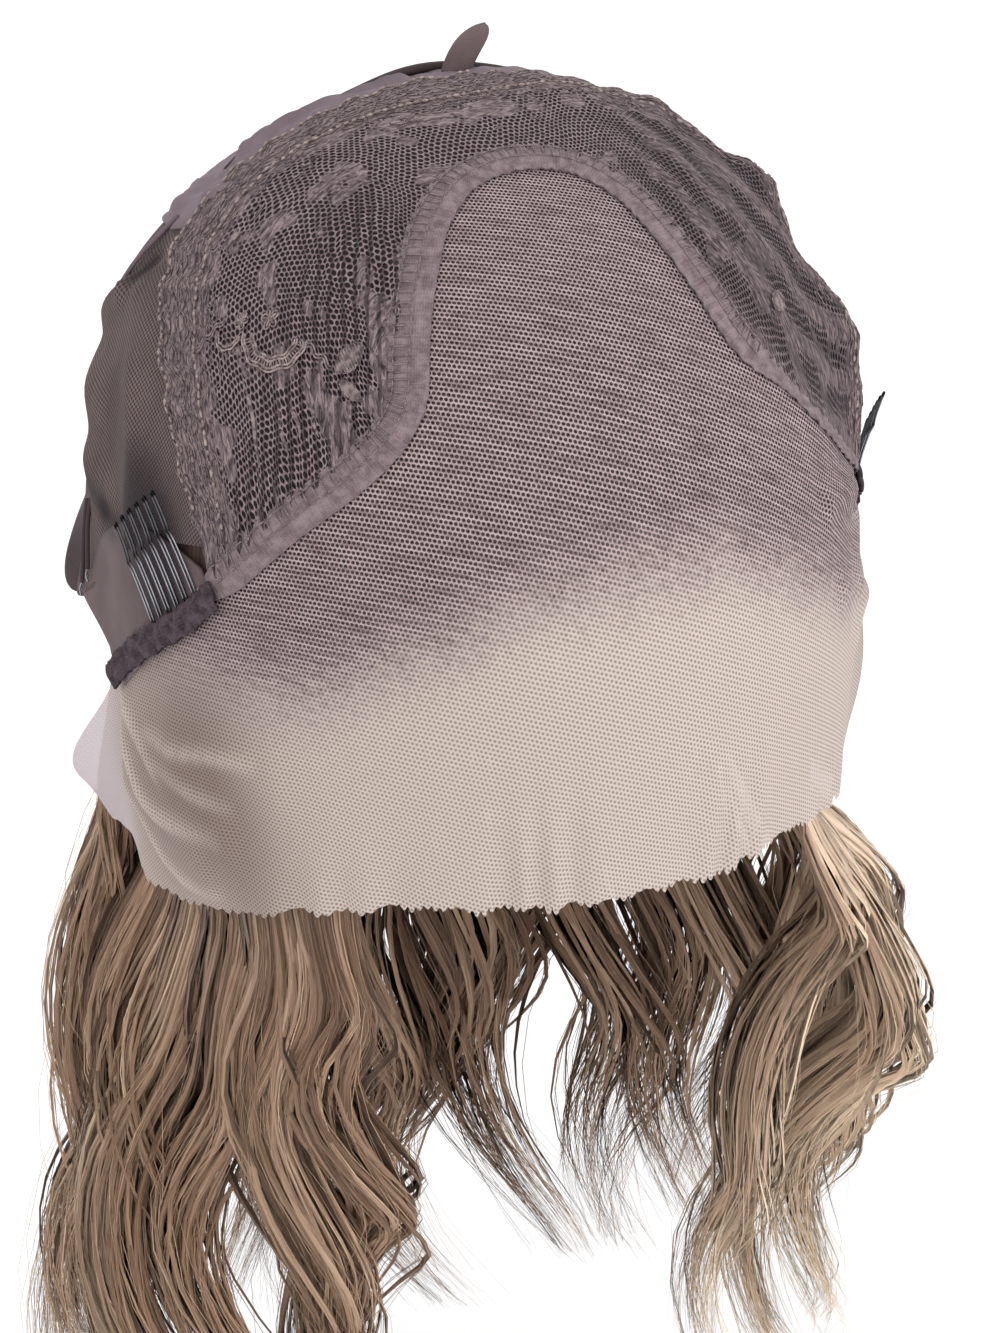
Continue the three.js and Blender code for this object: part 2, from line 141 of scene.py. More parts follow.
# Folds and creases of the lace. Columns: p, q at both ends, height, reach in degrees.
LACE_FOLDS = [
    (-97, 12, -92, 46, 2.2, 5),
    (-104, 10, -101, 40, 2.5, 5),
    (-88, 30, -76, 55, 1.6, 5),
    (80, 36, 74, 48, 1.8, 5),
    (62, 39, 46, 51, 1.7, 2.0),
    (73, 45, 56, 57, 1.6, 2.2),
    (68, 38, 64, 50, 1.3, 2.4),
]
# Sharp creases where the lace lies double, so that they look paler.
# Columns: height, reach in degrees, then the p, q places that each one runs through.
LACE_CREASES = [
    (1.3, 1.3, [(-96, 4), (-100, 13), (-102.5, 21), (-99, 33), (-92, 47)]),
    (1.0, 1.1, [(-94, 18), (-90, 30), (-82.5, 42), (-76, 51)]),
    (0.8, 1.0, [(-96, 22), (-91.5, 37), (-86, 48)]),
    (0.9, 1.0, [(-95, 3), (-95, 14), (-97, 27)]),
    (0.9, 1.2, [(-101, 4), (-110, 16), (-110, 32), (-102, 48)]),
]
CREASE_STEPS = 40

# The line where the hair behind the lace ends. Columns: bearing from the face, polar, both in degrees.
HAIRLINE = [(0, 66), (16, 67), (36.5, 76), (46, 81.5), (58, 83), (78, 85), (100, 84), (180, 84)]
# Painted shade on the lower lace, where hair lies behind it. Columns: p, q, strength, reach in degrees.
LACE_SHADES = [
    (-100, 24, 0.75, 22),
    (-84, 38, 0.55, 15),
    (-92, 56, 0.6, 16),
    (92, 30, 0.3, 16),
]

# Hair: its edge under the cap by bearing. Columns: bearing, polar of the hair, polar of the covering cloth.
HAIR_EDGE = [
    (0, 66, 103),
    (18, 67.5, 103),
    (38, 76, 106),
    (50, 84, 109),
    (62, 92, 114),
    (80, 98, 123),
    (95, 95, 126),
    (104, 92, 127),
    (112, 93, 96),
    (130, 100, 102),
    (155, 112, 113),
    (180, 118, 117),
]
# Columns: bearing, greatest width, height of the tip, stand-out below the rim and how late it comes,
# sideways wave, phase, and how far the tip is swept across towards -X.
LOCKS = [
    (-51, 18, -286, -5, 1.0, 8, 0.4, -12),
    (-60, 24, -312, 7, 1.2, 12, 1.2, -24),
    (-70, 26, -324, 13, 1.3, 13, 2.4, -12),
    (-81, 26, -322, 18, 1.3, 13, 3.3, 0),
    (-92, 26, -330, 15, 1.3, 14, 4.6, 0),
    (-104, 26, -316, 17, 1.15, 12, 5.4, 0),
    (-116, 28, -334, 13, 1.25, 10, 0.2, 0),
    (-129, 30, -342, 12, 1.3, 9, 1.6, 0),
    (-143, 28, -352, 11, 1.5, 9, 2.9, 0),
    (-157, 30, -362, 7, 1.2, 9, 4.1, 0),
    (-171, 32, -360, 5, 1.0, 8, 5.2, 0),
    (175, 32, -366, 4, 1.0, 9, 0.9, 0),
    (161, 32, -364, 4, 1.0, 8, 2.1, 0),
    (147, 30, -350, 9, 1.0, 9, 3.5, 0),
    (134, 30, -346, 17, 0.9, 9, 4.4, 0),
    (126, 28, -336, 21, 0.85, 9, 5.0, 0),
    (118, 30, -328, 24, 0.8, 9, 5.6, 0),
    (106, 27, -334, 32, 0.38, 10, 0.6, 0),
    (94, 28, -318, 32, 0.33, 10, 1.8, 4),
    (83, 27, -322, 30, 0.33, 9, 2.7, 10),
    (72, 26, -306, 24, 0.45, 10, 3.9, 22),
    (61, 24, -284, 12, 0.8, 9, 5.0, 32),
]
HAIR_LIFT = -8.0
LOCK_CLEAR_OF_RIM = 3.0
LOCK_WAVES = 1.15
LOCK_THICKNESS = 15.0


# Places and curves


def cap_point(p, q, lift=0.0):
    """Points in metres on the cap's outer face, lifted off it by millimetres."""
    p, q = drawn_aside(np.asarray(p, float), np.asarray(q, float))
    polar = np.hypot(p, q)
    angle = np.radians(polar)
    below = polar > GIRTH_POLAR
    out = np.where(below, 1 - RIM_DRAW_IN * (1 - np.sin(angle)), np.sin(angle))
    rise = lift - heaps(SAGS, p, q) + np.where(below, 0, CROWN_FULLNESS * np.sin(2 * angle) ** 2)
    safe = np.maximum(polar, 1e-9)
    x = (CAP_HALF_WIDTH + rise) * out * p / safe
    y = -(CAP_HALF_LENGTH + rise) * out * q / safe
    z = (CAP_HALF_HEIGHT + rise) * np.cos(angle) - HOLLOW_TOP
    return np.stack([x, y, z], -1) * MM


def drawn_aside(p, q):
    """Map places after the cloth has been pulled a little to one side."""
    by_p = heaps([(mid_p, mid_q, pull_p, reach) for mid_p, mid_q, pull_p, _, reach in DRAWS], p, q)
    by_q = heaps([(mid_p, mid_q, pull_q, reach) for mid_p, mid_q, _, pull_q, reach in DRAWS], p, q)
    return p + by_p, q + by_q


def heaps(table, p, q):
    """Sum of soft round heaps, each a row of p, q, height and reach."""
    return sum(height * np.exp(-((p - mid_p) ** 2 + (q - mid_q) ** 2) / reach**2)
               for mid_p, mid_q, height, reach in table)


def unit(vectors):
    return vectors / np.maximum(np.linalg.norm(vectors, axis=-1, keepdims=True), 1e-12)


def cap_normal(p, q):
    step = 0.2
    p, q = np.asarray(p, float), np.asarray(q, float)
    along = cap_point(p + step, q) - cap_point(p - step, q)
    across = cap_point(p, q + step) - cap_point(p, q - step)
    return unit(np.cross(across, along))


def path_length(points):
    """Length of a path in millimetres."""
    return np.linalg.norm(np.diff(points, axis=0), axis=1).sum() / MM


def smoothstep(value, low, high):
    share = np.clip((np.asarray(value, float) - low) / (high - low), 0, 1)
    return share * share * (3 - 2 * share)


def spline(points, share):
    """A smooth curve through evenly weighted points, read at shares from 0 to 1."""
    points = np.asarray(points, float)
    last = len(points) - 1
    place = np.clip(np.asarray(share, float), 0, 1) * last
    start = np.minimum(place.astype(int), last - 1)
    part = (place - start)[..., None]
    before, first, second, after = (points[np.clip(start + step, 0, last)] for step in (-1, 0, 1, 2))
    leave, arrive = (second - before) / 2, (after - first) / 2
    cubic = (2 * first - 2 * second + leave + arrive) * part**3
    square = (-3 * first + 3 * second - 2 * leave - arrive) * part**2
    return cubic + square + leave * part + first


def both_sides(places):
    places = np.asarray(places, float)
    return np.vstack([places[:0:-1] * (-1, 1), places])


def between(ribs, x, y):
    """Map places at shares x along and y across a panel, and the panel's width there."""
    rows = np.asarray(ribs, float)
    start = spline(both_sides(rows[:, :2]), x)
    end = spline(both_sides(rows[:, 2:]), x)
    width = np.linalg.norm(end - start, axis=-1) * MM_PER_DEGREE
    spot = start + (end - start) * np.asarray(y, float)[..., None]
    return spot[..., 0], spot[..., 1], width


def puff_lift(p, q):
    return heaps(PUFFS, p, q)


def distance_to_line(p, q, line):
    from_p, from_q, to_p, to_q = line
    run = np.array([to_p - from_p, to_q - from_q], float)
    share = np.clip(((p - from_p) * run[0] + (q - from_q) * run[1]) / (run @ run), 0, 1)
    return np.hypot(p - from_p - share * run[0], q - from_q - share * run[1])


def ridges(table, p, q):
    """Sum of soft ridges, each a row of p, q at both ends, height and reach."""
    return sum(height * np.exp(-((distance_to_line(p, q, line) / reach) ** 2))
               for *line, height, reach in table)


def crease_lift(p, q):
    """Creases that rise and die away along their length."""
    share = np.linspace(0, 1, CREASE_STEPS)
    fade = np.sin(np.pi * share) ** 0.6
    total = np.zeros(np.shape(p))
    for height, reach, places in LACE_CREASES:
        path = spline(places, share)
        apart = (p[..., None] - path[:, 0]) ** 2 + (q[..., None] - path[:, 1]) ** 2
        total = total + height * np.max(fade * np.exp(-apart / reach**2), axis=-1)
    return total


def lace_lift(p, q):
    return puff_lift(p, q) + ridges(LACE_FOLDS, p, q) + crease_lift(p, q)


def by_bearing(table, bearing, column):
    rows = np.asarray(table, float)
    return np.interp(np.abs(bearing), rows[:, 0], rows[:, column])


# Meshes


def new_piece(name, mesh, finish, replaces=()):
    piece = bpy.data.objects.new(name, mesh)
    bpy.context.scene.collection.objects.link(piece)
    mesh.materials.append(finish)
    mesh.shade_smooth()
    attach(piece, "root")
    if replaces:
        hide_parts(*replaces)
    return piece


def face_outward(bm):
    """Turns the faces of an open sheet away from the middle of the cap."""
    bm.normal_update()
    centre = Vector(CAP_CENTRE)
    outward = sum(face.normal.dot(face.calc_center_median() - centre) * face.calc_area()
                  for face in bm.faces)
    if outward < 0:
        bmesh.ops.reverse_faces(bm, faces=bm.faces)


def grid_mesh(name, along, across, place, thickness=0.0, weave=None, values=None):
    """A cloth grid. place, weave and values take shares x along and y across and give points in metres,
    weave coordinates in millimetres and named numbers for the finish."""
    bm = bmesh.new()
    bmesh.ops.create_grid(bm, x_segments=along, y_segments=across, size=0.5)
    shares = np.array([vert.co[:2] for vert in bm.verts]) + 0.5
    for vert, point in zip(bm.verts, place(shares[:, 0], shares[:, 1])):
        vert.co = point
    face_outward(bm)
    if thickness:
        bmesh.ops.solidify(bm, geom=bm.faces, thickness=thickness * MM)
        bmesh.ops.recalc_face_normals(bm, faces=bm.faces)
        shares = np.vstack([shares, shares])
    mesh = bpy.data.meshes.new(name)
    bm.to_mesh(mesh)
    bm.free()
    if weave:
        corners = np.empty(len(mesh.loops), np.int32)
        mesh.loops.foreach_get("vertex_index", corners)
        coordinates = weave(shares[:, 0], shares[:, 1])[corners]
        mesh.uv_layers.new(name="weave").uv.foreach_set("vector", coordinates.astype(np.float32).ravel())
    for label, number in (values(shares[:, 0], shares[:, 1]) if values else {}).items():
        add_numbers(mesh, label, number)
    return mesh


def add_numbers(mesh, label, numbers):
    numbers = np.asarray(numbers, np.float32)
    kind, field = ("FLOAT", "value") if numbers.ndim == 1 else ("FLOAT_VECTOR", "vector")
    mesh.attributes.new(label, kind, "POINT").data.foreach_set(field, numbers.ravel())


def tube_mesh(name, paths, radius, up, sides=4, flatten=1.0):
    """Many closed tubes as one mesh. paths is tubes x steps x 3 in metres, radius broadcasts to
    tubes x steps in metres, and up is the direction that a flattened tube is thin along."""
    tubes, steps, _ = paths.shape
    run = unit(np.gradient(paths, axis=1))
    side = unit(np.cross(run, np.broadcast_to(up, paths.shape)))
    rise = np.cross(side, run)
    turn = 2 * np.pi * np.arange(sides) / sides
    radius = np.broadcast_to(radius, (tubes, steps))[..., None, None]
    ring = side[:, :, None] * np.cos(turn)[:, None] + rise[:, :, None] * np.sin(turn)[:, None] * flatten
    points = paths[:, :, None] + ring * radius
    corner = np.arange(tubes * steps * sides).reshape(tubes, steps, sides)
    beside = np.roll(corner, -1, axis=2)
    walls = np.stack([corner[:, :-1], corner[:, 1:], beside[:, 1:], beside[:, :-1]], -1).reshape(-1, 4)
    caps = np.concatenate([corner[:, 0], corner[:, -1, ::-1]])
    mesh = bpy.data.meshes.new(name)
    mesh.vertices.add(points.size // 3)
    mesh.vertices.foreach_set("co", points.astype(np.float32).ravel())
    mesh.loops.add(walls.size + caps.size)
    mesh.loops.foreach_set("vertex_index", np.concatenate([walls.ravel(), caps.ravel()]).astype(np.int32))
    mesh.polygons.add(len(walls) + len(caps))
    starts = np.concatenate([np.arange(len(walls)) * 4, walls.size + np.arange(len(caps)) * sides])
    mesh.polygons.foreach_set("loop_start", starts.astype(np.int32))
    mesh.update(calc_edges=True)
    return mesh


def thread_piece(name, paths, radius, finish, sides=4, flatten=1.0, replaces=()):
    """Threads, cords or wires that lie on the cap, with radius in millimetres."""
    mesh = tube_mesh(name, paths, radius * MM, unit(paths - CAP_CENTRE), sides, flatten)
    return new_piece(name, mesh, finish, replaces)


def per_tube(numbers, steps, sides):
    """Spreads one number for each tube over all its vertices."""
    return np.repeat(np.asarray(numbers, float), steps * sides)


def per_step(numbers, tubes, sides):
    """Spreads one number for each step over all tubes."""
    return np.tile(np.repeat(np.asarray(numbers, float), sides), tubes)


# Finishes


def shade(red, green, blue):
    """A colour as it looks on a screen, 0 to 255, as the linear colour that shaders use."""
    shares = [part / 255 for part in (red, green, blue)]
    linear = [part / 12.92 if part <= 0.04045 else ((part + 0.055) / 1.055) ** 2.4 for part in shares]
    return (*linear, 1.0)


FOLD_SHADOW = shade(46, 39, 42)
# Scale of the wave texture that gives one rib to the unit.
WAVE_SCALE_PER_RIB = 0.314


class Finish:
    """A node material round one Principled shader, with short names for the nodes used here."""

    def __init__(self, name, **constants):
        self.material = bpy.data.materials.new(name)
        self.material.use_nodes = True
        self.tree = self.material.node_tree
        self.shader = self.tree.nodes["Principled BSDF"]
        for socket, value in constants.items():
            self.shader.inputs[socket.replace("_", " ").title().replace("Ior", "IOR")].default_value = value

    def add(self, kind, inputs, **settings):
        made = self.tree.nodes.new(kind)
        for setting, value in settings.items():
            setattr(made, setting, value)
        for socket, value in inputs.items():
            if isinstance(value, bpy.types.NodeSocket):
                self.tree.links.new(value, made.inputs[socket])
            else:
                made.inputs[socket].default_value = value
        return made

    def set(self, socket, value):
        self.tree.links.new(value, self.shader.inputs[socket])

    def number(self, operation, *parts):
        return self.add("ShaderNodeMath", dict(enumerate(parts)), operation=operation).outputs[0]

    def plus(self, base, extra, weight):
        """base with a weighted share of another number added."""
        return self.number("MULTIPLY_ADD", extra, weight, base)

    def vector(self, operation, *parts):
        made = self.add("ShaderNodeVectorMath", dict(enumerate(parts)), operation=operation)
        return made.outputs["Value" if operation in ("LENGTH", "DOT_PRODUCT") else "Vector"]

    def ease(self, value, low, high, to_low=0.0, to_high=1.0):
        inputs = {"Value": value, "From Min": low, "From Max": high, "To Min": to_low, "To Max": to_high}
        return self.add("ShaderNodeMapRange", inputs, interpolation_type="SMOOTHSTEP").outputs["Result"]

    def mix(self, share, first, second):
        return self.add("ShaderNodeMix", {0: share, 6: first, 7: second}, data_type="RGBA").outputs[2]

    def blend(self, share, first, second):
        return self.add("ShaderNodeMix", {0: share, 2: first, 3: second}, data_type="FLOAT").outputs[0]

    def noise(self, place, scale, detail=2.0, roughness=0.5, distortion=0.0):
        inputs = {"Vector": place, "Scale": scale, "Detail": detail, "Roughness": roughness,
                  "Distortion": distortion}
        return self.add("ShaderNodeTexNoise", inputs).outputs[0]

    def ribs(self, place, to_the_mm, direction):
        """Slightly uneven ribs across the X or Y direction of the cloth."""
        inputs = {"Vector": place, "Scale": to_the_mm * WAVE_SCALE_PER_RIB, "Distortion": 0.6, "Detail": 1.0,
                  "Detail Scale": 0.6}
        return self.add("ShaderNodeTexWave", inputs, bands_direction=direction).outputs["Fac"]

    def weave(self, turn=0.0, stretch=(1.0, 1.0, 1.0)):
        place = self.add("ShaderNodeUVMap", {}, uv_map="weave").outputs["UV"]
        inputs = {"Vector": place, "Rotation": (0.0, 0.0, math.radians(turn)), "Scale": stretch}
        return self.add("ShaderNodeMapping", inputs).outputs["Vector"]

    def place(self):
        """Object coordinates in millimetres."""
        coordinates = self.add("ShaderNodeTexCoord", {}).outputs["Object"]
        inputs = {"Vector": coordinates, "Scale": (1 / MM, 1 / MM, 1 / MM)}
        return self.add("ShaderNodeMapping", inputs).outputs["Vector"]

    def value(self, label):
        return self.add("ShaderNodeAttribute", {}, attribute_name=label).outputs["Fac"]

    def vector_value(self, label):
        return self.add("ShaderNodeAttribute", {}, attribute_name=label).outputs["Vector"]

    def ramp(self, share, stops):
        made = self.add("ShaderNodeValToRGB", {0: share})
        while len(made.color_ramp.elements) < len(stops):
            made.color_ramp.elements.new(0.5)
        for element, (position, colour) in zip(made.color_ramp.elements, stops):
            element.position = position
            element.color = colour
        return made.outputs["Color"]

    def bump(self, height, depth, strength=1.0):
        """Relief: height from 0 to 1 stands for that many millimetres."""
        inputs = {"Height": height, "Distance": depth * MM, "Strength": strength}
        self.set("Normal", self.add("ShaderNodeBump", inputs).outputs["Normal"])

    def net_holes(self, place, cell):
        """Distance from the middle of the nearest hole of a net whose rows are offset by half a cell."""
        half = (cell[0] / 2, cell[1] / 2, 0.5)
        low = tuple(-part for part in half)
        even = self.vector("WRAP", place, half, low)
        shifted = self.vector("ADD", place, (half[0], half[1], 0.0))
        odd = self.vector("WRAP", shifted, half, low)
        return self.number("MINIMUM", self.vector("LENGTH", even), self.vector("LENGTH", odd))


LACE_NET_CELL = (1.1, 2.36)
LACE_HOLE_FLATNESS = 1.3
LACE_GRAIN_TURN = 18.0
STRETCH_NET_CELL = (1.4, 2.3)
KNIT_CELL = (1.0, 1.3)
KNIT_GRAIN_TURN = 24.0
PLEAT_WIDTH = 2.6
PLEAT_NORMAL = (0.93, -0.37, 0.0)
STRETCH_LACE_SHADES = [(0.36, shade(66, 55, 58)), (0.5, shade(108, 93, 96)), (0.64, shade(148, 131, 131))]
HAIR_SHADES = [
    (0.0, shade(88, 62, 45)),
    (0.32, shade(150, 119, 96)),
    (0.62, shade(201, 169, 142)),
    (1.0, shade(243, 217, 186)),
]
# The hair under the cap is painted darker than the hanging hair, as painted shade.
DOME_PAINTED_SHADE = [(0.3, shade(38, 29, 27)), (0.55, shade(74, 58, 52)), (0.8, shade(104, 84, 74))]


def lace_finish():
    """Fine net in slanting rows, dark over the hair and cream below the hairline."""
    finish = Finish("lace net", roughness=0.75, specular_ior_level=0.2)
    place = finish.vector("MULTIPLY", finish.weave(turn=LACE_GRAIN_TURN), (1.0, LACE_HOLE_FLATNESS, 1.0))
    hole = finish.net_holes(place, LACE_NET_CELL)
    scatter = finish.noise(place, 0.5, detail=3.0, roughness=0.75)
    broad = finish.noise(finish.weave(), 0.06, detail=2.0)
    rows = finish.noise(finish.vector("MULTIPLY", place, (0.1, 0.8, 1.0)), 0.9, detail=3.0, roughness=0.6)
    edge = finish.plus(finish.value("below_hairline"), scatter, 22.0)
    edge = finish.plus(edge, broad, 8.0)
    low = finish.ease(edge, 6.0, 26.0)
    rubbed = finish.noise(place, 1.1, detail=2.0, roughness=0.6)
    radius = finish.blend(low, 0.41, 0.36)
    thread = finish.ease(finish.number("SUBTRACT", hole, radius), -0.1, 0.1)
    creased = finish.value("creased")
    sheer = finish.value("sheer")
    covered_low = finish.plus(0.84, finish.number("ADD", creased, sheer), 0.08)
    covered_high = finish.ease(rubbed, 0.35, 0.75, 0.0, 0.3)
    covered = finish.blend(finish.ease(edge, 0.0, 18.0), covered_high, covered_low)
    solid = finish.plus(1.0, sheer, -0.12)
    finish.set("Alpha", finish.blend(thread, covered, solid))
    worn = finish.ease(finish.plus(rows, rubbed, 0.5), 0.5, 0.95)
    upper = finish.mix(worn, shade(122, 105, 107), shade(170, 152, 154))
    # Painted shade darkens the lower lace where hair lies behind it; creases, where the lace lies double,
    # take some of it away.
    shaded = finish.plus(finish.value("shaded"), creased, -0.6)
    lower = finish.mix(shaded, shade(188, 174, 166), shade(132, 115, 108))
    # The net's holes are partly filled with painted shade, standing for the dark inside of the cap seen
    # through them.
    low_hole_shade = finish.mix(shaded, shade(149, 136, 128), shade(104, 89, 83))
    lower = finish.mix(sheer, lower, shade(190, 178, 182))
    low_hole_shade = finish.mix(sheer, low_hole_shade, shade(184, 172, 176))
    hole_shade = finish.mix(low, shade(110, 93, 94), low_hole_shade)
    finish.set("Base Color", finish.mix(thread, hole_shade, finish.mix(low, upper, lower)))
    finish.bump(thread, 0.12, 0.6)
    return finish.material


def stretch_lace_finish():
    """Open net with dense mottled parts: the outer band, the motifs and the bunched ridges."""
    finish = Finish("stretch lace", roughness=0.8, specular_ior_level=0.2)
    place = finish.weave()
    warp = finish.add("ShaderNodeTexNoise", {"Vector": place, "Scale": 0.1, "Detail": 1.0}).outputs["Color"]
    warp = finish.vector("MULTIPLY_ADD", warp, (3.0, 3.0, 0.0), (-1.5, -1.5, 0.0))
    hole = finish.net_holes(finish.vector("ADD", place, warp), STRETCH_NET_CELL)
    thread = finish.ease(hole, 0.38, 0.6)
    worked = finish.noise(place, 0.08, detail=3.0)
    from_edge = finish.plus(finish.value("from_edge"), finish.number("SUBTRACT", worked, 0.5), 18.0)
    band = finish.ease(from_edge, 14.0, 18.0, 1.0, 0.0)
    motif = finish.ease(worked, 0.54, 0.59)
    dense = finish.number("MAXIMUM", finish.number("MAXIMUM", band, motif), finish.value("ridge"))
    drawn_out = finish.weave(stretch=(0.36, 1.0, 1.0))
    swirl = finish.noise(drawn_out, 1.0, detail=3.0, roughness=0.6, distortion=1.0)
    pricks = finish.ease(swirl, 0.33, 0.41)
    open_net = finish.blend(thread, 0.5, 1.0)
    finish.set("Alpha", finish.blend(dense, open_net, finish.blend(pricks, 0.8, 1.0)))
    mottled = finish.ramp(swirl, STRETCH_LACE_SHADES)
    yarn = finish.mix(finish.ease(swirl, 0.35, 0.65), shade(112, 95, 99), shade(146, 128, 131))
    # The holes are half filled with painted shade, standing for the dark depth seen through the net.
    net = finish.mix(thread, shade(34, 26, 31), yarn)
    colour = finish.mix(dense, net, mottled)
    # Painted shade: darker in the pleats' valleys and over the gathered part.
    across = finish.vector("DOT_PRODUCT", finish.place(), PLEAT_NORMAL)
    phase = finish.plus(finish.number("MULTIPLY", across, 2 * math.pi / PLEAT_WIDTH), worked, 9.0)
    crease = finish.ease(finish.number("SINE", phase), -0.2, -0.8)
    gathered = finish.number("MULTIPLY", crease, finish.value("gathered"))
    valley_shade = finish.number("MAXIMUM", finish.number("SUBTRACT", finish.value("pleat"), gathered), 0.0)
    finish.set("Base Color", finish.mix(valley_shade, finish.mix(0.66, colour, shade(40, 32, 36)), colour))
    relief = finish.blend(dense, thread, finish.number("ADD", swirl, 0.4))
    finish.bump(relief, 0.35, 0.8)
    return finish.material


def thread_finish(name, dark, light):
    finish = Finish(name, roughness=0.65, specular_ior_level=0.3)
    twist = finish.ease(finish.noise(finish.place(), 0.8, detail=2.0), 0.3, 0.7)
    finish.set("Base Color", finish.mix(twist, dark, light))
    finish.bump(finish.noise(finish.place(), 5.0), 0.15, 0.5)
    return finish.material


def cloth_finish(name, dark, light, ribs, roughness, depth, sheen=0.0, mottle=0.06, grain=0.55):
    """Woven cloth: ribs gives wales and courses in threads to the millimetre, depth their relief, mottle the
    scale of its blotches and grain how much of its tone comes from the weave."""
    finish = Finish(name, roughness=roughness, specular_ior_level=0.1, sheen_weight=sheen,
                    sheen_roughness=0.4)
    place = finish.weave()
    wales, courses = ribs
    weave = finish.number("MULTIPLY", finish.ribs(place, wales, "X"), finish.ribs(place, courses, "Y"))
    cloudy = finish.ease(finish.noise(place, mottle, detail=4.0, roughness=0.6), 0.3, 0.7)
    tone = finish.plus(finish.number("MULTIPLY", weave, grain), cloudy, 1 - grain)
    woven = finish.mix(tone, dark, light)
    finish.set("Base Color", finish.mix(finish.value("shadow"), woven, FOLD_SHADOW))
    finish.bump(finish.plus(weave, cloudy, 0.5), depth, 0.7)
    return finish.material


def knit_finish():
    """A fine knitted mesh with slanting rows of small holes."""
    finish = Finish("mesh knit", roughness=0.85, specular_ior_level=0.2)
    place = finish.weave(turn=KNIT_GRAIN_TURN)
    loop = finish.ease(finish.net_holes(place, KNIT_CELL), 0.16, 0.44)
    cloudy = finish.noise(place, 0.07, detail=4.0, roughness=0.6)
    yarn = finish.mix(finish.ease(cloudy, 0.3, 0.7), shade(104, 89, 88), shade(122, 106, 104))
    # The knit's holes are not cut: they are painted dark as shade.
    knitted = finish.mix(loop, shade(58, 48, 49), yarn)
    finish.set("Base Color", finish.mix(finish.value("shadow"), knitted, FOLD_SHADOW))
    finish.bump(loop, 0.3, 0.8)
    return finish.material


def steel_finish():
    """Rubbed steel wire with a black coat where coated is 1."""
    finish = Finish("comb steel", metallic=1.0, specular_ior_level=0.5)
    rubbed = finish.noise(finish.place(), 0.25, detail=2.0)
    coated = finish.value("coated")
    finish.set("Roughness", finish.blend(coated, finish.ease(rubbed, 0.2, 0.8, 0.16, 0.36), 0.5))
    bare = finish.mix(rubbed, shade(104, 105, 110), shade(168, 170, 176))
    finish.set("Base Color", finish.mix(coated, bare, shade(22, 20, 22)))
    return finish.material


def hair_finish():
    """Strands and wisps: tone runs from dark to fair, rest holds each point's place in its own wisp."""
    finish = Finish("hair", roughness=0.45, specular_ior_level=0.35)
    rest = finish.vector_value("rest")
    fine = finish.noise(finish.vector("MULTIPLY", rest, (1.0, 1.0, 0.012)), 3.4, detail=4.0, roughness=0.7)
    broad = finish.noise(finish.vector("MULTIPLY", rest, (0.3, 0.3, 0.012)), 1.0, detail=2.0)
    streak = finish.number("MULTIPLY_ADD", fine, 1.3, -0.65)
    tone = finish.number("ADD", finish.value("tone"), streak)
    tone = finish.number("ADD", tone, finish.ease(broad, 0.2, 0.8, -0.12, 0.12))
    tone = finish.number("ADD", tone, finish.ease(finish.value("along"), 0.0, 1.0, -0.14, 0.03))
    finish.set("Base Color", finish.ramp(tone, HAIR_SHADES))
    finish.bump(fine, 0.5, 0.6)
    return finish.material


def hair_dome_finish():
    """Dark combed hair that shows through the lace, painted darker than the hanging hair as the shade it
    lies in under the cap.
    """
    finish = Finish("hair under the lace", roughness=0.6, specular_ior_level=0.2)
    combed = finish.noise(finish.weave(stretch=(1.0, 0.05, 1.0)), 0.9, detail=4.0, roughness=0.65)
    finish.set("Base Color", finish.ramp(combed, DOME_PAINTED_SHADE))
    finish.bump(combed, 0.8, 0.7)
    return finish.material


# The sheer lace

LACE_ALONG = 520
LACE_ACROSS = 56
LACE_LIFT = -0.5
PINKING_TEETH = 122
PINKING_DEPTH = 1.6
LACE_WEAVE_POLE = 60.0
LACE_WEAVE_RADIUS = 98.0


def lace_place(x, y):
    _, _, width = between(LACE_RIBS, x, y)
    tooth = np.abs(np.sin(np.pi * PINKING_TEETH * x)) ** 0.8
    ragged = 0.7 + 0.3 * np.sin(37 * x + 2 * np.sin(61 * x)) + 0.35 * np.sin(173 * x)
    cut = smoothstep(y, 0.9, 1.0) * PINKING_DEPTH * (tooth * ragged - 0.5) / width
    return between(LACE_RIBS, x, y + cut)[:2]


def lace_points(x, y):
    p, q = lace_place(x, y)
    loose = smoothstep(y, 0.75, 1.0) * 0.7 * np.sin(2 * np.pi * 17 * x + 3 * np.sin(2 * np.pi * 5 * x))
    return cap_point(p, q, lace_lift(p, q) + LACE_LIFT + loose)


def lace_weave(x, y):
    """The cloth laid flat round a point on the forehead, so that the net keeps its size."""
    p, q = lace_place(x, y)
    axes = np.array([CAP_HALF_WIDTH, CAP_HALF_LENGTH, CAP_HALF_HEIGHT]) * MM
    spot = unit((cap_point(p, q) - CAP_CENTRE) / axes)
    pole = np.radians(LACE_WEAVE_POLE)
    axis = np.array([0.0, -math.sin(pole), math.cos(pole)])
    across, upward = np.array([1.0, 0.0, 0.0]), np.array([0.0, math.cos(pole), math.sin(pole)])
    away = np.arccos(np.clip(spot @ axis, -1, 1)) * LACE_WEAVE_RADIUS
    flat = unit(np.stack([spot @ across, spot @ upward], -1))
    return flat * away[:, None]


def lace_values(x, y):
    p, q = lace_place(x, y)
    bearing = np.degrees(np.arctan2(p, q))
    below = (np.hypot(p, q) - by_bearing(HAIRLINE, bearing, 1)) * MM_PER_DEGREE
    return {
        "below_hairline": below,
        "shaded": np.clip(heaps(LACE_SHADES, p, q), 0, 1),
        "creased": np.clip(crease_lift(p, q), 0, 1),
        "sheer": smoothstep(-q, -8, 8),
    }


def lace_front():
    name = "lace_front_net"
    mesh = grid_mesh(name, LACE_ALONG, LACE_ACROSS, lace_points, weave=lace_weave, values=lace_values)
    return new_piece(name, mesh, lace_finish(), ["lace_front"])


# The patterned stretch lace

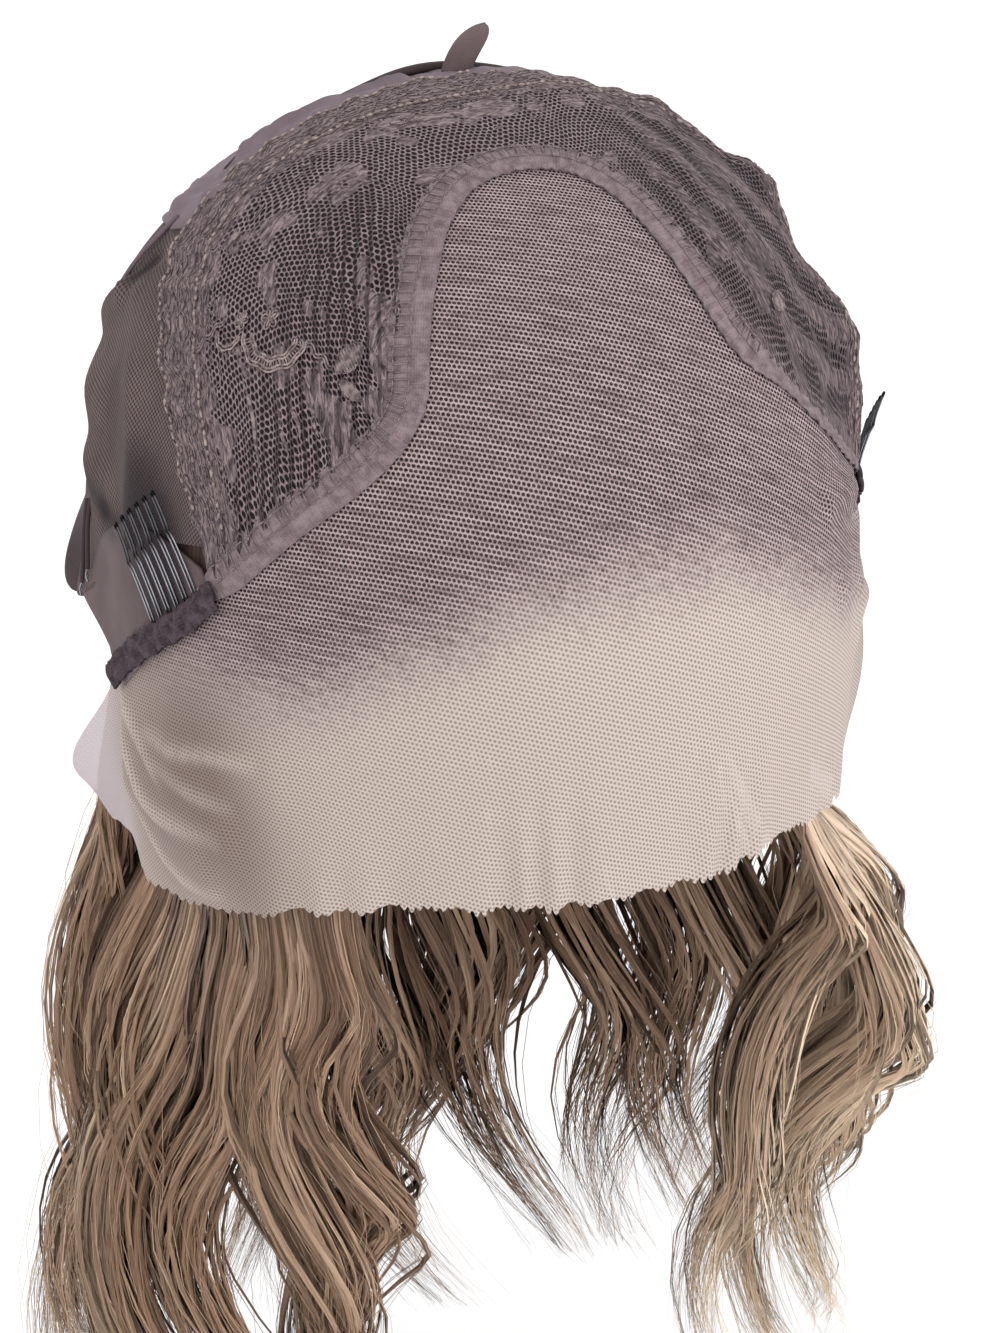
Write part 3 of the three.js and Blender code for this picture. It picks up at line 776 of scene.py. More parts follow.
STRETCH_ALONG = 500
STRETCH_ACROSS = 40
STRETCH_LIFT = 0.1
SCALLOPS = 20
SCALLOP_DEPTH = 1.4
CHAIN_LINES = [1.5, 13.0]
CHAIN_PITCH = 1.9
LOOP_ROWS = [0.2, 1.6, 3.0, 4.4, 5.8, 7.2, 8.6, 10.0, 11.4]
LOOP_PITCHES = (2.2, 3.6)
LOOP_STEP = 0.36
PLEAT_HEIGHT = 0.45
BUNCH_WIDTH = 15.0
BUNCH_START = 0.08
BUNCH_HEIGHT = 0.25


def stretch_pleats(x, y):
    """Pleat waves from -1 to 1 and their height: small ones that run into the seam on the wearer's right,
    and long bunched ones along the band on the left."""
    _, _, width = between(STRETCH_LACE_RIBS, x, y)
    p, q = stretch_place(x, y)
    upright = cap_point(p, q) @ np.array(PLEAT_NORMAL) / MM
    right = smoothstep(0.5 - x, 0.1, 0.2) * (1 - smoothstep(y, 0.3, 0.6)) * smoothstep(y, 0.0, 0.08)
    phase = 2 * np.pi * (upright / PLEAT_WIDTH + 0.25 * np.sin(0.09 * q + 0.5 * upright))
    left = smoothstep(x - 0.5, 0.08, 0.2) * np.sin(np.pi * np.clip(y, 0, 1)) ** 0.5
    drift = BUNCH_START + 0.1 * np.sin(2 * np.pi * 7.3 * x) + 0.05 * np.sin(2 * np.pi * 17 * x)
    bunch = 2 * np.pi * (y * width / BUNCH_WIDTH + drift)
    wave = right * np.sin(phase) + left * np.sin(bunch)
    return right, wave, right * PLEAT_HEIGHT * np.sin(phase) + left * BUNCH_HEIGHT * np.sin(bunch)


def stretch_place(x, y):
    _, _, width = between(STRETCH_LACE_RIBS, x, y)
    scallop = np.abs(np.sin(np.pi * SCALLOPS * x)) - 0.5
    reach = smoothstep(y, 0.7, 1.0) * (SCALLOP_DEPTH * scallop + 1.2) / np.maximum(width, 12)
    return between(STRETCH_LACE_RIBS, x, y + reach)[:2]


def stretch_points(x, y, lift=0.0):
    p, q = stretch_place(x, y)
    ruffle = smoothstep(y, 0.6, 1.0) * 0.4 * np.sin(2 * np.pi * 31 * x + np.sin(2 * np.pi * 9 * x))
    _, _, pleat = stretch_pleats(x, y)
    return cap_point(p, q, puff_lift(p, q) + STRETCH_LIFT + pleat + ruffle + lift)


def stretch_length():
    """Length of the band along its middle, in millimetres."""
    x = np.linspace(0, 1, 400)
    return path_length(stretch_points(x, np.full_like(x, 0.6)))


def stretch_weave(x, y):
    _, _, width = between(STRETCH_LACE_RIBS, x, y)
    return np.stack([x * stretch_length(), (1 - y) * width], -1)


def stretch_values(x, y):
    _, _, width = between(STRETCH_LACE_RIBS, x, y)
    right, wave, _ = stretch_pleats(x, y)
    valley_shade = smoothstep(wave, -0.9, 0.2)
    left = smoothstep(x - 0.5, 0.08, 0.2)
    ridge = np.maximum(left * smoothstep(wave, 0.0, 0.6), smoothstep(x, 0.9, 0.95))
    # pleat carries the strength of painted shade: the pleats' valleys and the gathered part, half as much on
    # the left.
    pleat = np.maximum(valley_shade, right) * (1 - 0.5 * left)
    return {"from_edge": (1 - y) * width, "pleat": pleat, "gathered": right, "ridge": ridge}


def band_points(x, from_edge, lift):
    """Points on the stretch lace at a distance in from its scalloped edge."""
    _, _, width = between(STRETCH_LACE_RIBS, x, np.zeros_like(x))
    return stretch_points(x, 1 - from_edge / width, lift)


def vine(size):
    """A garland: a thread that hangs in a deep bow."""
    turn = np.pi * np.linspace(0, 1, 60)
    wobble = 0.03 * size * np.sin(9 * turn)
    return np.stack([-(size + wobble) * np.cos(turn), (0.78 * size + wobble) * np.sin(turn)], -1)


def rungs(size):
    """Thread that goes to and fro between two bows."""
    turn = np.pi * np.linspace(0.04, 0.96, 90)
    reach = size * (0.84 + 0.13 * np.sign(np.sin(26 * turn)))
    return np.stack([-reach * np.cos(turn), 0.78 * reach * np.sin(turn)], -1)


def stem(size):
    turn = np.linspace(0, 1, 30)
    return np.stack([size * (2 * turn - 1), 0.1 * size * np.sin(5 * np.pi * turn)], -1)


def rosette(size):
    """A flower of five petals."""
    turn = np.linspace(0, 2 * np.pi, 70)
    reach = size * (0.66 + 0.34 * np.cos(5 * turn))
    return np.stack([reach * np.cos(turn), reach * np.sin(turn)], -1)


def leaf(size):
    """A leaf hatched from side to side."""
    turn = np.linspace(0, 1, 132)
    width = size * 0.5 * np.sin(np.pi * turn) ** 0.7
    return np.stack([size * (2 * turn - 1), width * np.sin(2 * np.pi * 11.5 * turn)], -1)


# Worked motifs on the net. Columns: p, q, kind, size, turn in degrees.
MOTIFS = [
    (-39, 22.2, vine, 8.2, 47),
    (-39, 22.2, vine, 5.8, 47),
    (-39, 22.2, rungs, 8.2, 47),
    (-44.4, 16, vine, 3.4, 62),
    (-38.6, 20, rosette, 1.9, 10),
    (-42, 16.6, rosette, 1.5, 50),
    (-34.5, 28.2, stem, 5.0, 63),
    (-46.5, 13, stem, 4.5, 20),
    (-30, 31.3, leaf, 4.6, -5),
    (-32, 34.6, leaf, 2.8, 60),
    (36, 31, leaf, 3.4, -45),
]
MOTIF_LIFT = 0.6
MOTIF_LINES = (-0.32, 0.32)
# Felted lines that rise from the seam over the net. Columns: p, q at both ends.
FELT_LINES = [
    (-43, 28.5, -45.5, 35.5),
    (-41, 30, -42.5, 35),
    (-45.5, 22.5, -49.5, 32.5),
    (-38, 31, -40, 36.5),
    (-34.5, 32, -39, 36.5),
]
FELT_STEPS = 16
FELT_LIFT = 0.1
FELT_RADII = 0.45 * np.sin(np.pi * np.linspace(0.04, 0.96, FELT_STEPS))
CHAIN_RADII = np.array([0.18, 0.32, 0.32, 0.18])
CRIMPS = 460
CRIMP_STEPS = 7


def motif_paths(wanted):
    """Pairs of threads side by side along each motif of one kind."""
    paths = []
    for mid_p, mid_q, kind, size, turn in MOTIFS:
        if kind is not wanted:
            continue
        angle = math.radians(turn)
        ahead = np.array([math.cos(angle), math.sin(angle)])
        outline = kind(size) @ np.array([ahead, (-ahead[1], ahead[0])])
        aside = unit(np.gradient(outline, axis=0))[:, ::-1] * (1, -1)
        for line in MOTIF_LINES:
            spot = np.array([mid_p, mid_q]) + (outline + aside * line) / MM_PER_DEGREE
            p, q = spot[:, 0], spot[:, 1]
            paths.append(cap_point(p, q, puff_lift(p, q) + STRETCH_LIFT + MOTIF_LIFT))
    return np.array(paths)


def felt_lines():
    share = np.linspace(0, 1, FELT_STEPS)
    lines = np.asarray(FELT_LINES, float)
    p = lines[:, :1] + (lines[:, 2:3] - lines[:, :1]) * share + 0.25 * np.sin(7 * share + lines[:, :1])
    q = lines[:, 1:2] + (lines[:, 3:] - lines[:, 1:2]) * share
    return cap_point(p, q, puff_lift(p, q) + STRETCH_LIFT + FELT_LIFT)


def crimped_threads():
    """Small loops of thread, strewn over the dense outer band and about the motifs."""
    length = stretch_length()
    x = dice.uniform(0.03, 0.97, CRIMPS)
    from_edge = np.abs(dice.normal(0, 1, CRIMPS)) * 5.5 + dice.uniform(2, 13, CRIMPS)
    width = between(STRETCH_LACE_RIBS, x, np.zeros_like(x))[2]
    from_edge = np.minimum(from_edge, 0.85 * width)
    reach = dice.uniform(0.6, 1.5, CRIMPS)
    start = dice.uniform(0, 2 * np.pi, CRIMPS)
    turn = start[:, None] + np.linspace(0, 1, CRIMP_STEPS) * dice.uniform(2.2, 5.0, CRIMPS)[:, None]
    along = x[:, None] + reach[:, None] * np.cos(turn) * 1.7 / length
    inward = np.maximum(from_edge[:, None] + reach[:, None] * np.sin(turn), 0.1)
    return band_points(along, inward, 0.15)


def looped_rows():
    """Threads that run along the outer band in small loops."""
    length = stretch_length()
    x = np.linspace(0.03, 0.97, int(length / LOOP_STEP))
    rows = np.asarray(LOOP_ROWS)[:, None]
    count = len(LOOP_ROWS)
    pitch = dice.uniform(*LOOP_PITCHES, (count, 1))
    turn = 2 * np.pi * x * length / pitch + dice.uniform(0, 6, (count, 1))
    wander = 0.8 * np.sin(2 * np.pi * 13 * x + 0.5 * rows) + 0.5 * np.sin(2 * np.pi * 31 * x + rows)
    width = between(STRETCH_LACE_RIBS, x, np.zeros_like(x))[2]
    inward = rows + 0.45 * np.cos(turn) + wander * smoothstep(rows, 0.0, 4.0)
    along = x + 0.6 * np.sin(turn) / length
    return band_points(along, np.minimum(inward, 0.9 * width), 0.2 + 0.12 * np.sin(turn))


def chain_dots():
    """Chain stitches of pale thread in two lines along the band."""
    length = stretch_length()
    count = int(length / CHAIN_PITCH)
    x = np.linspace(0.05, 0.95, count)
    lift = 0.55 - 0.45 * smoothstep(x, 0.52, 0.6)
    centres = [band_points(x, np.full(count, inset), lift) for inset in CHAIN_LINES]
    part = np.linspace(-1, 1, 4)[:, None, None] * dice.uniform(0.22, 0.42, (count, 1))
    runs = [part * np.gradient(row, axis=0) + row for row in centres]
    return np.concatenate([run.transpose(1, 0, 2) for run in runs])


def stretch_lace():
    mesh = grid_mesh("stretch_lace_band", STRETCH_ALONG, STRETCH_ACROSS, stretch_points,
                     weave=stretch_weave, values=stretch_values)
    band = new_piece("stretch_lace_band", mesh, stretch_lace_finish(), ["stretch_lace"])
    worked = thread_finish("motif thread", shade(104, 89, 91), shade(164, 146, 144))
    pale = thread_finish("chain stitch thread", shade(116, 100, 98), shade(168, 150, 144))
    dull = thread_finish("lace thread", shade(84, 71, 74), shade(146, 130, 129))
    # Columns: name, paths, radius, sides, flatness, finish.
    threads = [
        ("lace_vines", motif_paths(vine), 0.24, 4, 1.0, worked),
        ("lace_rosettes", motif_paths(rosette), 0.2, 4, 1.0, worked),
        ("lace_rungs", motif_paths(rungs), 0.14, 4, 1.0, worked),
        ("lace_stems", motif_paths(stem), 0.2, 4, 1.0, dull),
        ("lace_leaves", motif_paths(leaf), 0.14, 4, 1.0, dull),
        ("lace_felt_lines", felt_lines(), FELT_RADII, 6, 0.5, dull),
        ("lace_crimps", crimped_threads(), 0.13, 4, 1.0, dull),
        ("lace_looped_rows", looped_rows(), 0.14, 3, 1.0, dull),
        ("lace_chain_stitches", chain_dots(), CHAIN_RADII, 6, 1.0, pale),
    ]
    return band, [thread_piece(name, paths, radius, finish, sides, flatness)
                  for name, paths, radius, sides, flatness, finish in threads]


# The seam tape with its stitches

TAPE_ALONG = 420
TAPE_ACROSS = 8
TAPE_WIDTH = 8.2
TAPE_THICKNESS = 0.4
TAPE_NARROW_SHARE = 0.5
TAPE_LACED_SHARE = 0.62
TAPE_STITCHED_FROM = 0.1
TAPE_COVERED_FROM = 0.74
LADDER_PITCH = 2.8
LADDER_ROWS = (-0.2, 3.0)
LADDER_LIFT = 0.4
LADDER_THREAD = 0.16
WHIPPING_PITCH = 1.7
WHIPPING_THREAD = 0.2


def seam_frame(x):
    """Points, run and side directions along the seam between the two laces."""
    seam = both_sides(np.asarray(LACE_RIBS, float)[:SEAM_ROWS, :2])
    spot = spline(seam, x)
    step = 5e-4
    run = unit(seam_point(seam, x + step) - seam_point(seam, x - step))
    up = cap_normal(spot[..., 0], spot[..., 1])
    return seam_point(seam, x), unit(np.cross(up, run)), up


def seam_point(seam, x):
    spot = spline(seam, x)
    p, q = spot[..., 0], spot[..., 1]
    return cap_point(p, q, lace_lift(p, q))


def tape_points(x, aside, lift):
    spot, side, up = seam_frame(x)
    return spot + side * (np.asarray(aside) * MM)[..., None] + up * (np.asarray(lift) * MM)[..., None]


def tape_length():
    spot, _, _ = seam_frame(np.linspace(0, 1, 500))
    return path_length(spot)


def tape_stitches():
    """Two rows of running stitches with rungs between them, as an overlocked tape has."""
    count = int(tape_length() * (TAPE_COVERED_FROM - TAPE_STITCHED_FROM) / 0.8 / LADDER_PITCH)
    x = np.linspace(TAPE_STITCHED_FROM, TAPE_COVERED_FROM, count)
    pitch = x[1] - x[0]
    paths = []
    for row in LADDER_ROWS:
        along = x[:, None] + np.linspace(-0.4, 0.4, 5) * pitch
        arch = np.broadcast_to(LADDER_LIFT + 0.28 * np.cos(np.linspace(-1.3, 1.3, 5)), along.shape)
        paths.append(tape_points(along, np.full(along.shape, row), arch))
    low, high = LADDER_ROWS
    between_rows = np.broadcast_to(np.linspace(low, high, 5), (count, 5))
    arch = np.broadcast_to(LADDER_LIFT + 0.2 * np.cos(np.linspace(-1.4, 1.4, 5)), (count, 5))
    paths.append(tape_points(np.repeat((x + pitch / 2)[:, None], 5, 1), between_rows, arch))
    return np.concatenate(paths)


def tape_whipping():
    """Short stitches that bind the outer edge of the tape to the stretch lace."""
    count = int(tape_length() / WHIPPING_PITCH)
    x = np.linspace(TAPE_STITCHED_FROM, TAPE_COVERED_FROM, count)
    pitch = x[1] - x[0]
    aside = np.linspace(0.5 * TAPE_WIDTH - 0.8, 0.5 * TAPE_WIDTH + 0.05, 4)
    drop = np.array([-0.05, 0.12, 0.05, -0.4])
    along = x[:, None] + np.linspace(-0.2, 0.3, 4) * pitch
    return tape_points(along, np.broadcast_to(aside, along.shape), np.broadcast_to(drop, along.shape))


def seam_tape():
    def points(x, y):
        under_comb_tape = smoothstep(np.abs(2 * x - 1), 0.78, 0.84)
        under_lace = smoothstep(x, TAPE_COVERED_FROM - 0.01, TAPE_COVERED_FROM + 0.05)
        covered = np.maximum(under_comb_tape * TAPE_NARROW_SHARE, under_lace * TAPE_LACED_SHARE)
        aside = (y - 0.5 + 0.2 * under_lace) * TAPE_WIDTH * (1 - covered)
        gather = np.sin(2 * np.pi * 95 * x + 2 * np.sin(2 * np.pi * 13 * x))
        pucker = 0.12 * gather * (1 + np.cos(2 * np.pi * y))
        lumps = 0.12 * np.sin(2 * np.pi * 61 * x + 5 * y) * np.sin(2 * np.pi * 23 * x)
        return tape_points(x, aside, pucker + lumps + 0.45 * np.sin(np.pi * y))

    def weave(x, y):
        return np.stack([x * tape_length(), (y - 0.5) * TAPE_WIDTH], -1)

    mesh = grid_mesh("seam_tape_cloth", TAPE_ALONG, TAPE_ACROSS, points, TAPE_THICKNESS, weave)
    finish = cloth_finish("seam tape cloth", shade(98, 83, 87), shade(150, 134, 137), (1.1, 1.9),
                          roughness=0.8, depth=0.2, sheen=0.1, mottle=0.35, grain=0.35)
    tape = new_piece("seam_tape_cloth", mesh, finish, ["seam_tape"])
    thread = thread_finish("seam thread", shade(100, 86, 90), shade(138, 122, 125))
    dark = thread_finish("seam binding thread", shade(90, 77, 80), shade(132, 117, 119))
    ladder = thread_piece("seam_ladder_stitches", tape_stitches(), LADDER_THREAD, thread)
    whipping = thread_piece("seam_edge_stitches", tape_whipping(), WHIPPING_THREAD, dark)
    return tape, [ladder, whipping]


# The closed panels

PANEL_CLOTH = 0.8
COMB_MIDDLE = (73.8, 23, 69.5, 10)
COMB_SHADE = 0.9
COMB_SHADE_REACH = 7.0
# Dark lines along folds. Columns: p, q at both ends, strength, reach in degrees.
CLOTH_SHADOWS = [
    (-64, -40, -66, -20, 0.5, 1.6),
    (-66, -21, -72, -18, 0.5, 1.6),
    (-72, -18, -75, -5, 0.7, 1.8),
    (-75, -5, -76, 2, 0.6, 1.6),
    (-43.5, -11, -46.5, -10.8, 0.35, 1.0),
    (-46.5, -10.8, -50, -12.8, 0.95, 1.0),
    (-45, -4, -48.5, -9, 0.3, 1.0),
    (-28, -21.5, -2, -20.5, 0.55, 1.3),
]


def cloth_shadow(p, q):
    """How dark the cloth lies behind the comb's teeth and in its deep folds, from 0 to 1."""
    apart = distance_to_line(np.abs(p), q, COMB_MIDDLE)
    behind_comb = COMB_SHADE * np.exp(-((apart / COMB_SHADE_REACH) ** 4))
    return {"shadow": np.clip(behind_comb + ridges(CLOTH_SHADOWS, p, q), 0, 1)}


def whole_spots(ribs):
    """Map places of a panel that runs across both sides of the cap."""
    def spots(x, y):
        return between(ribs, x, y)[:2]

    return spots


def sided_spots(ribs, side):
    """Map places of a panel on one side of the cap."""
    rows = np.asarray(ribs, float) * (side, 1, side, 1)

    def spots(x, y):
        start, end = spline(rows[:, :2], x), spline(rows[:, 2:], x)
        spot = start + (end - start) * y[:, None]
        return spot[:, 0], spot[:, 1]

    return spots


def panel(name, grid, spots, lift, finish, replaces):
    """A cloth panel: spots gives its map places and lift its height, at shares x along and y across."""
    def points(x, y):
        p, q = spots(x, y)
        return cap_point(p, q, puff_lift(p, q) + lift(x, y))

    def weave(x, y):
        return np.stack(spots(x, y), -1) * MM_PER_DEGREE

    def shadow(x, y):
        return cloth_shadow(*spots(x, y))

    mesh = grid_mesh(name, *grid, points, -PANEL_CLOTH, weave, shadow)
    return new_piece(name, mesh, finish, [replaces])


# Turned welts of the satin. Columns: p, q at both ends, height, reach in degrees.
SATIN_WELTS = [
    (-27, -20, -2, -19, 2.0, 1.5),
    (-44, -14, -34, -26, 1.6, 1.6),
    (-34, -30, -8, -34, 1.2, 2.6),
    (-40, -8, -30, -14, 1.0, 1.4),
    (-24, -12, -10, -15, 0.8, 1.3),
    (-36, -9, -39, -22, 0.9, 1.4),
    (-32, -10, -34, -24, -0.7, 1.6),
    (10, -14, 34, -16, 1.0, 2.0),
    (-16, -44, 20, -46, 1.0, 2.4),
]
# Folds of the knit where it lies slack, below 0 for hollows. Columns as above.
KNIT_FOLDS = [
    (-50, -10, -51.5, -14, 1.2, 1.7),
    (-51.5, -14, -54, -26, 1.5, 1.8),
    (-46, -9.5, -50, -11.5, -1.2, 1.6),
    (-55, -38, -58, -18, -0.8, 2.2),
    (-62, -40, -64, -12, 1.0, 2.6),
    (-67.5, -38, -69, -12, -0.6, 2.4),
    (-70.5, -28, -72, -3, 1.2, 2.4),
    (-58, -2, -66, 6, 0.8, 2.0),
]


SATIN_GRID = (150, 36)
SATIN_LIFT = -0.9
SATIN_HEM = 1.0
KNIT_GRID = (190, 56)
KNIT_LIFT = -1.2
KNIT_HEM = 0.7
EAR_TAB_GRID = (40, 12)
EAR_TAB_LIFT = -0.5


def crown_satin(finish):
    spots = whole_spots(CROWN_SATIN_RIBS)

    def lift(x, y):
        gather = np.sin(2 * np.pi * 27 * x + 2 * np.sin(2 * np.pi * 4 * x))
        pucker = 0.2 * (1 - smoothstep(y, 0.1, 0.45)) * gather
        hem = SATIN_HEM * smoothstep(y, 0.9, 0.98)
        slack = 0.9 * np.sin(np.pi * y) * np.sin(2 * np.pi * 3.3 * x + 4 * y)
        slack = slack + ridges(SATIN_WELTS, *spots(x, y))
        return SATIN_LIFT + (pucker + hem + slack) * smoothstep(np.sin(np.pi * x), 0.1, 0.5)

    return panel("crown_satin_cloth", SATIN_GRID, spots, lift, finish, "crown_satin")


def back_panel(finish):
    spots = whole_spots(BACK_RIBS)

    def lift(x, y):
        left = 1 - smoothstep(x, 0.12, 0.34)
        fold = left * 1.1 * np.sin(2 * np.pi * (2.3 * y + 5.2 * x)) * np.sin(np.pi * y)
        hem = KNIT_HEM * smoothstep(y, 0.93, 0.96)
        return KNIT_LIFT + fold + hem + ridges(KNIT_FOLDS, *spots(x, y))

    return panel("back_panel_knit", KNIT_GRID, spots, lift, finish, "back_panel")


def ear_tab(wing, side, finish):
    def lift(x, y):
        return EAR_TAB_LIFT

    spots = sided_spots(EAR_TAB_RIBS, side)
    return panel(f"ear_tab_{wing}_cloth", EAR_TAB_GRID, spots, lift, finish, f"ear_tab_{wing}")


# Straps, tabs and combs

STRAP_WIDTH = 13.0
STRAP_LENGTH = 48.0
STRAP_CLOTH = 1.0
STRAP_GRID = (48, 10)
STRAP_STAND_OFF = 0.8
STRAP_RUN = [(60, -35, -4), (69, -33, -3), (78, -31, -0.5), (87.5, -30, 1.5)]
STRAP_ROUND_SHARE = 0.2
STRAP_TWIST = 32.0
COMB_BASE = (68.1, 31.2, 80.3, 20.2)
COMB_TIPS = (64.5, 15.5, 74.5, 4.0)
COMB_TEETH = 6
COMB_WIRE = 0.4
COMB_WIRE_SIDES = 10
COMB_STEPS = 30
COMB_LEG_SHARE = 0.16
COMB_BEND = 0.62
COMB_TAPE_RUN = [(65.6, 34), (72.6, 29), (79.6, 21.8), (86.6, 13), (93, 3.8)]
COMB_TAPE_WIDTH = 5.8
COMB_TAPE_LENGTH = 45.0
COMB_TAPE_CLOTH = 0.9
COMB_TAPE_GRID = (90, 12)
# By side of the cap.
COMB_TAPE_LIFTS = {-1: 1.6, 1: 0.8}
CROWN_TAB_HEIGHT = 10.5
CROWN_TAB_HALF_WIDTH = 4.0
CROWN_TAB_HALF_DEPTH = 1.5
CROWN_TAB_PLACE = (7.5, -18)
CROWN_TAB_LEAN = (6, -4)
CROWN_TAB_GRID = (32, 16)
CROWN_TAB_FLAT = (20, 10)


def strap(name, side, finish):
    """A tab with a rounded end that twists forward as it leaves the cap."""
    rows = np.asarray(STRAP_RUN, float) * (side, 1, 1)

    def points(x, y):
        spot = spline(rows, x)
        p, q = spot[:, 0], spot[:, 1]
        up = cap_normal(p, q)
        step = 2e-3
        ahead, behind = spline(rows, x + step), spline(rows, x - step)
        run = unit(cap_point(ahead[:, 0], ahead[:, 1]) - cap_point(behind[:, 0], behind[:, 1]))
        past = np.maximum(0, x - 1 + STRAP_ROUND_SHARE) / STRAP_ROUND_SHARE
        width = STRAP_WIDTH * np.sqrt(1 - 0.93 * past**2)
        lift = puff_lift(p, q) + 0.3 + STRAP_STAND_OFF * spot[:, 2] + 0.3 * np.sin(np.pi * y)
        twist = side * np.radians(STRAP_TWIST) * smoothstep(x, 0.5, 0.95)
        side_way = unit(np.cross(up, run))
        turned = side_way * np.cos(twist)[:, None] + up * np.sin(twist)[:, None]
        return cap_point(p, q) + turned * ((y - 0.5) * width * MM)[:, None] + up * (lift * MM)[:, None]

    def weave(x, y):
        return np.stack([x * STRAP_LENGTH, (y - 0.5) * STRAP_WIDTH], -1)

    mesh = grid_mesh(name + "_cloth", *STRAP_GRID, points, STRAP_CLOTH, weave)
    return new_piece(name + "_cloth", mesh, finish, [name])


def crown_tab(finish):
    """A folded loop of satin that stands up behind the crown."""
    def points(x, y):
        turn = 2 * np.pi * x
        taper = np.sqrt(np.maximum(0, 1 - y**5))
        across = CROWN_TAB_HALF_WIDTH * np.cos(turn) * (0.35 + 0.65 * taper)
        depth = CROWN_TAB_HALF_DEPTH * np.sin(turn) * (0.2 + 0.8 * taper)
        p = CROWN_TAB_PLACE[0] + CROWN_TAB_LEAN[0] * y**1.5 + across * taper / MM_PER_DEGREE
        q = CROWN_TAB_PLACE[1] + CROWN_TAB_LEAN[1] * y**2 + depth * taper / MM_PER_DEGREE
        return cap_point(p, q, puff_lift(p, q) - 0.5 + CROWN_TAB_HEIGHT * y)

    def weave(x, y):
        return np.stack([x, y], -1) * CROWN_TAB_FLAT

    mesh = grid_mesh("crown_tab_loop", *CROWN_TAB_GRID, points, weave=weave)
    bm = bmesh.new()
    bm.from_mesh(mesh)
    bmesh.ops.remove_doubles(bm, verts=bm.verts, dist=0.02 * MM)
    bmesh.ops.holes_fill(bm, edges=bm.edges)
    bmesh.ops.recalc_face_normals(bm, faces=bm.faces)
    bm.to_mesh(mesh)
    bm.free()
    return new_piece("crown_tab_loop", mesh, finish, ["crown_tab"])


def sided_line(line, side, share):
    from_p, from_q, to_p, to_q = line
    share = np.asarray(share, float)
    return side * (from_p + (to_p - from_p) * share), from_q + (to_q - from_q) * share


def comb_point(side, tip_lift, lay, along, reach):
    """Points of a comb: lay is the share of the teeth's length that they cover on the cap."""
    base_p, base_q = sided_line(COMB_BASE, side, along)
    tip_p, tip_q = sided_line(COMB_TIPS, side, along)
    p = base_p + (tip_p - base_p) * reach * lay
    q = base_q + (tip_q - base_q) * reach * lay
    kink = 0.3 * np.exp(-(((reach - COMB_BEND) / 0.07) ** 2))
    return cap_point(p, q, puff_lift(p, q) + 0.35 + COMB_WIRE / 2 + tip_lift * reach**1.3 + kink)


def comb(name, side, tip_lift, lay, finish):
    """Doubled wire teeth: each goes up, round a coated tip and back down."""
    run = np.linspace(0, 1, COMB_STEPS)
    reach = np.sin(np.pi * run) ** 0.55
    sway = np.cos(np.pi * run)
    pitch = 1 / COMB_TEETH
    leg = COMB_LEG_SHARE * pitch * np.sign(sway) * np.abs(sway) ** 0.22
    middles = (np.arange(COMB_TEETH) + 0.5) * pitch
    kink = 0.04 * pitch * smoothstep(reach, 0.6, 0.7)
    along = middles[:, None] + leg + kink
    teeth = comb_point(side, tip_lift, lay, along, np.broadcast_to(reach, along.shape))
    spine = comb_point(side, tip_lift, lay, run[None], np.zeros((1, COMB_STEPS)))
    paths = np.concatenate([teeth, spine])
    coated = np.maximum(smoothstep(reach, 0.9, 0.96), np.exp(-(((reach - 0.63) / 0.045) ** 2)))
    coated = np.maximum(coated, 0.6 * smoothstep(reach, 0.6, 0.66))
    thick = np.broadcast_to(1 + 0.35 * smoothstep(reach, 0.9, 0.97), teeth.shape[:2])
    radius = 0.5 * COMB_WIRE * np.vstack([thick, np.ones((1, COMB_STEPS))])
    piece = thread_piece(name + "_wires", paths, radius, finish, COMB_WIRE_SIDES,
                         replaces=[name])
    coats = np.concatenate([np.tile(coated, COMB_TEETH), np.zeros(COMB_STEPS)])
    add_numbers(piece.data, "coated", np.repeat(coats, COMB_WIRE_SIDES))


def comb_tape(name, side, finish):
    """A rough dark tape over the end of the seam, from the comb to the ear corner."""
    run = np.asarray(COMB_TAPE_RUN, float) * (side, 1)

    def points(x, y):
        spot, ahead, behind = (spline(run, x + step) for step in (0.0, 0.01, -0.01))
        up = cap_normal(spot[:, 0], spot[:, 1])
        forward = unit(cap_point(ahead[:, 0], ahead[:, 1]) - cap_point(behind[:, 0], behind[:, 1]))
        lumpy = 0.25 * np.sin(2 * np.pi * 7 * x + 3 * y) + 0.18 * np.sin(2 * np.pi * 17 * x - 5 * y)
        lift = lace_lift(spot[:, 0], spot[:, 1]) + COMB_TAPE_LIFTS[side] + 0.5 * np.sin(np.pi * y) + lumpy
        ragged = 1 + 0.07 * np.sin(2 * np.pi * 6 * x) + 0.05 * np.sin(2 * np.pi * 19 * x)
        aside = side * (y - 0.5) * COMB_TAPE_WIDTH * ragged
        seat = cap_point(spot[:, 0], spot[:, 1])
        return seat + np.cross(up, forward) * (aside * MM)[:, None] + up * (lift * MM)[:, None]

    def weave(x, y):
        return np.stack([x * COMB_TAPE_LENGTH, (y - 0.5) * COMB_TAPE_WIDTH], -1)

    mesh = grid_mesh(name + "_cloth", *COMB_TAPE_GRID, points, COMB_TAPE_CLOTH, weave)
    return new_piece(name + "_cloth", mesh, finish, [name])


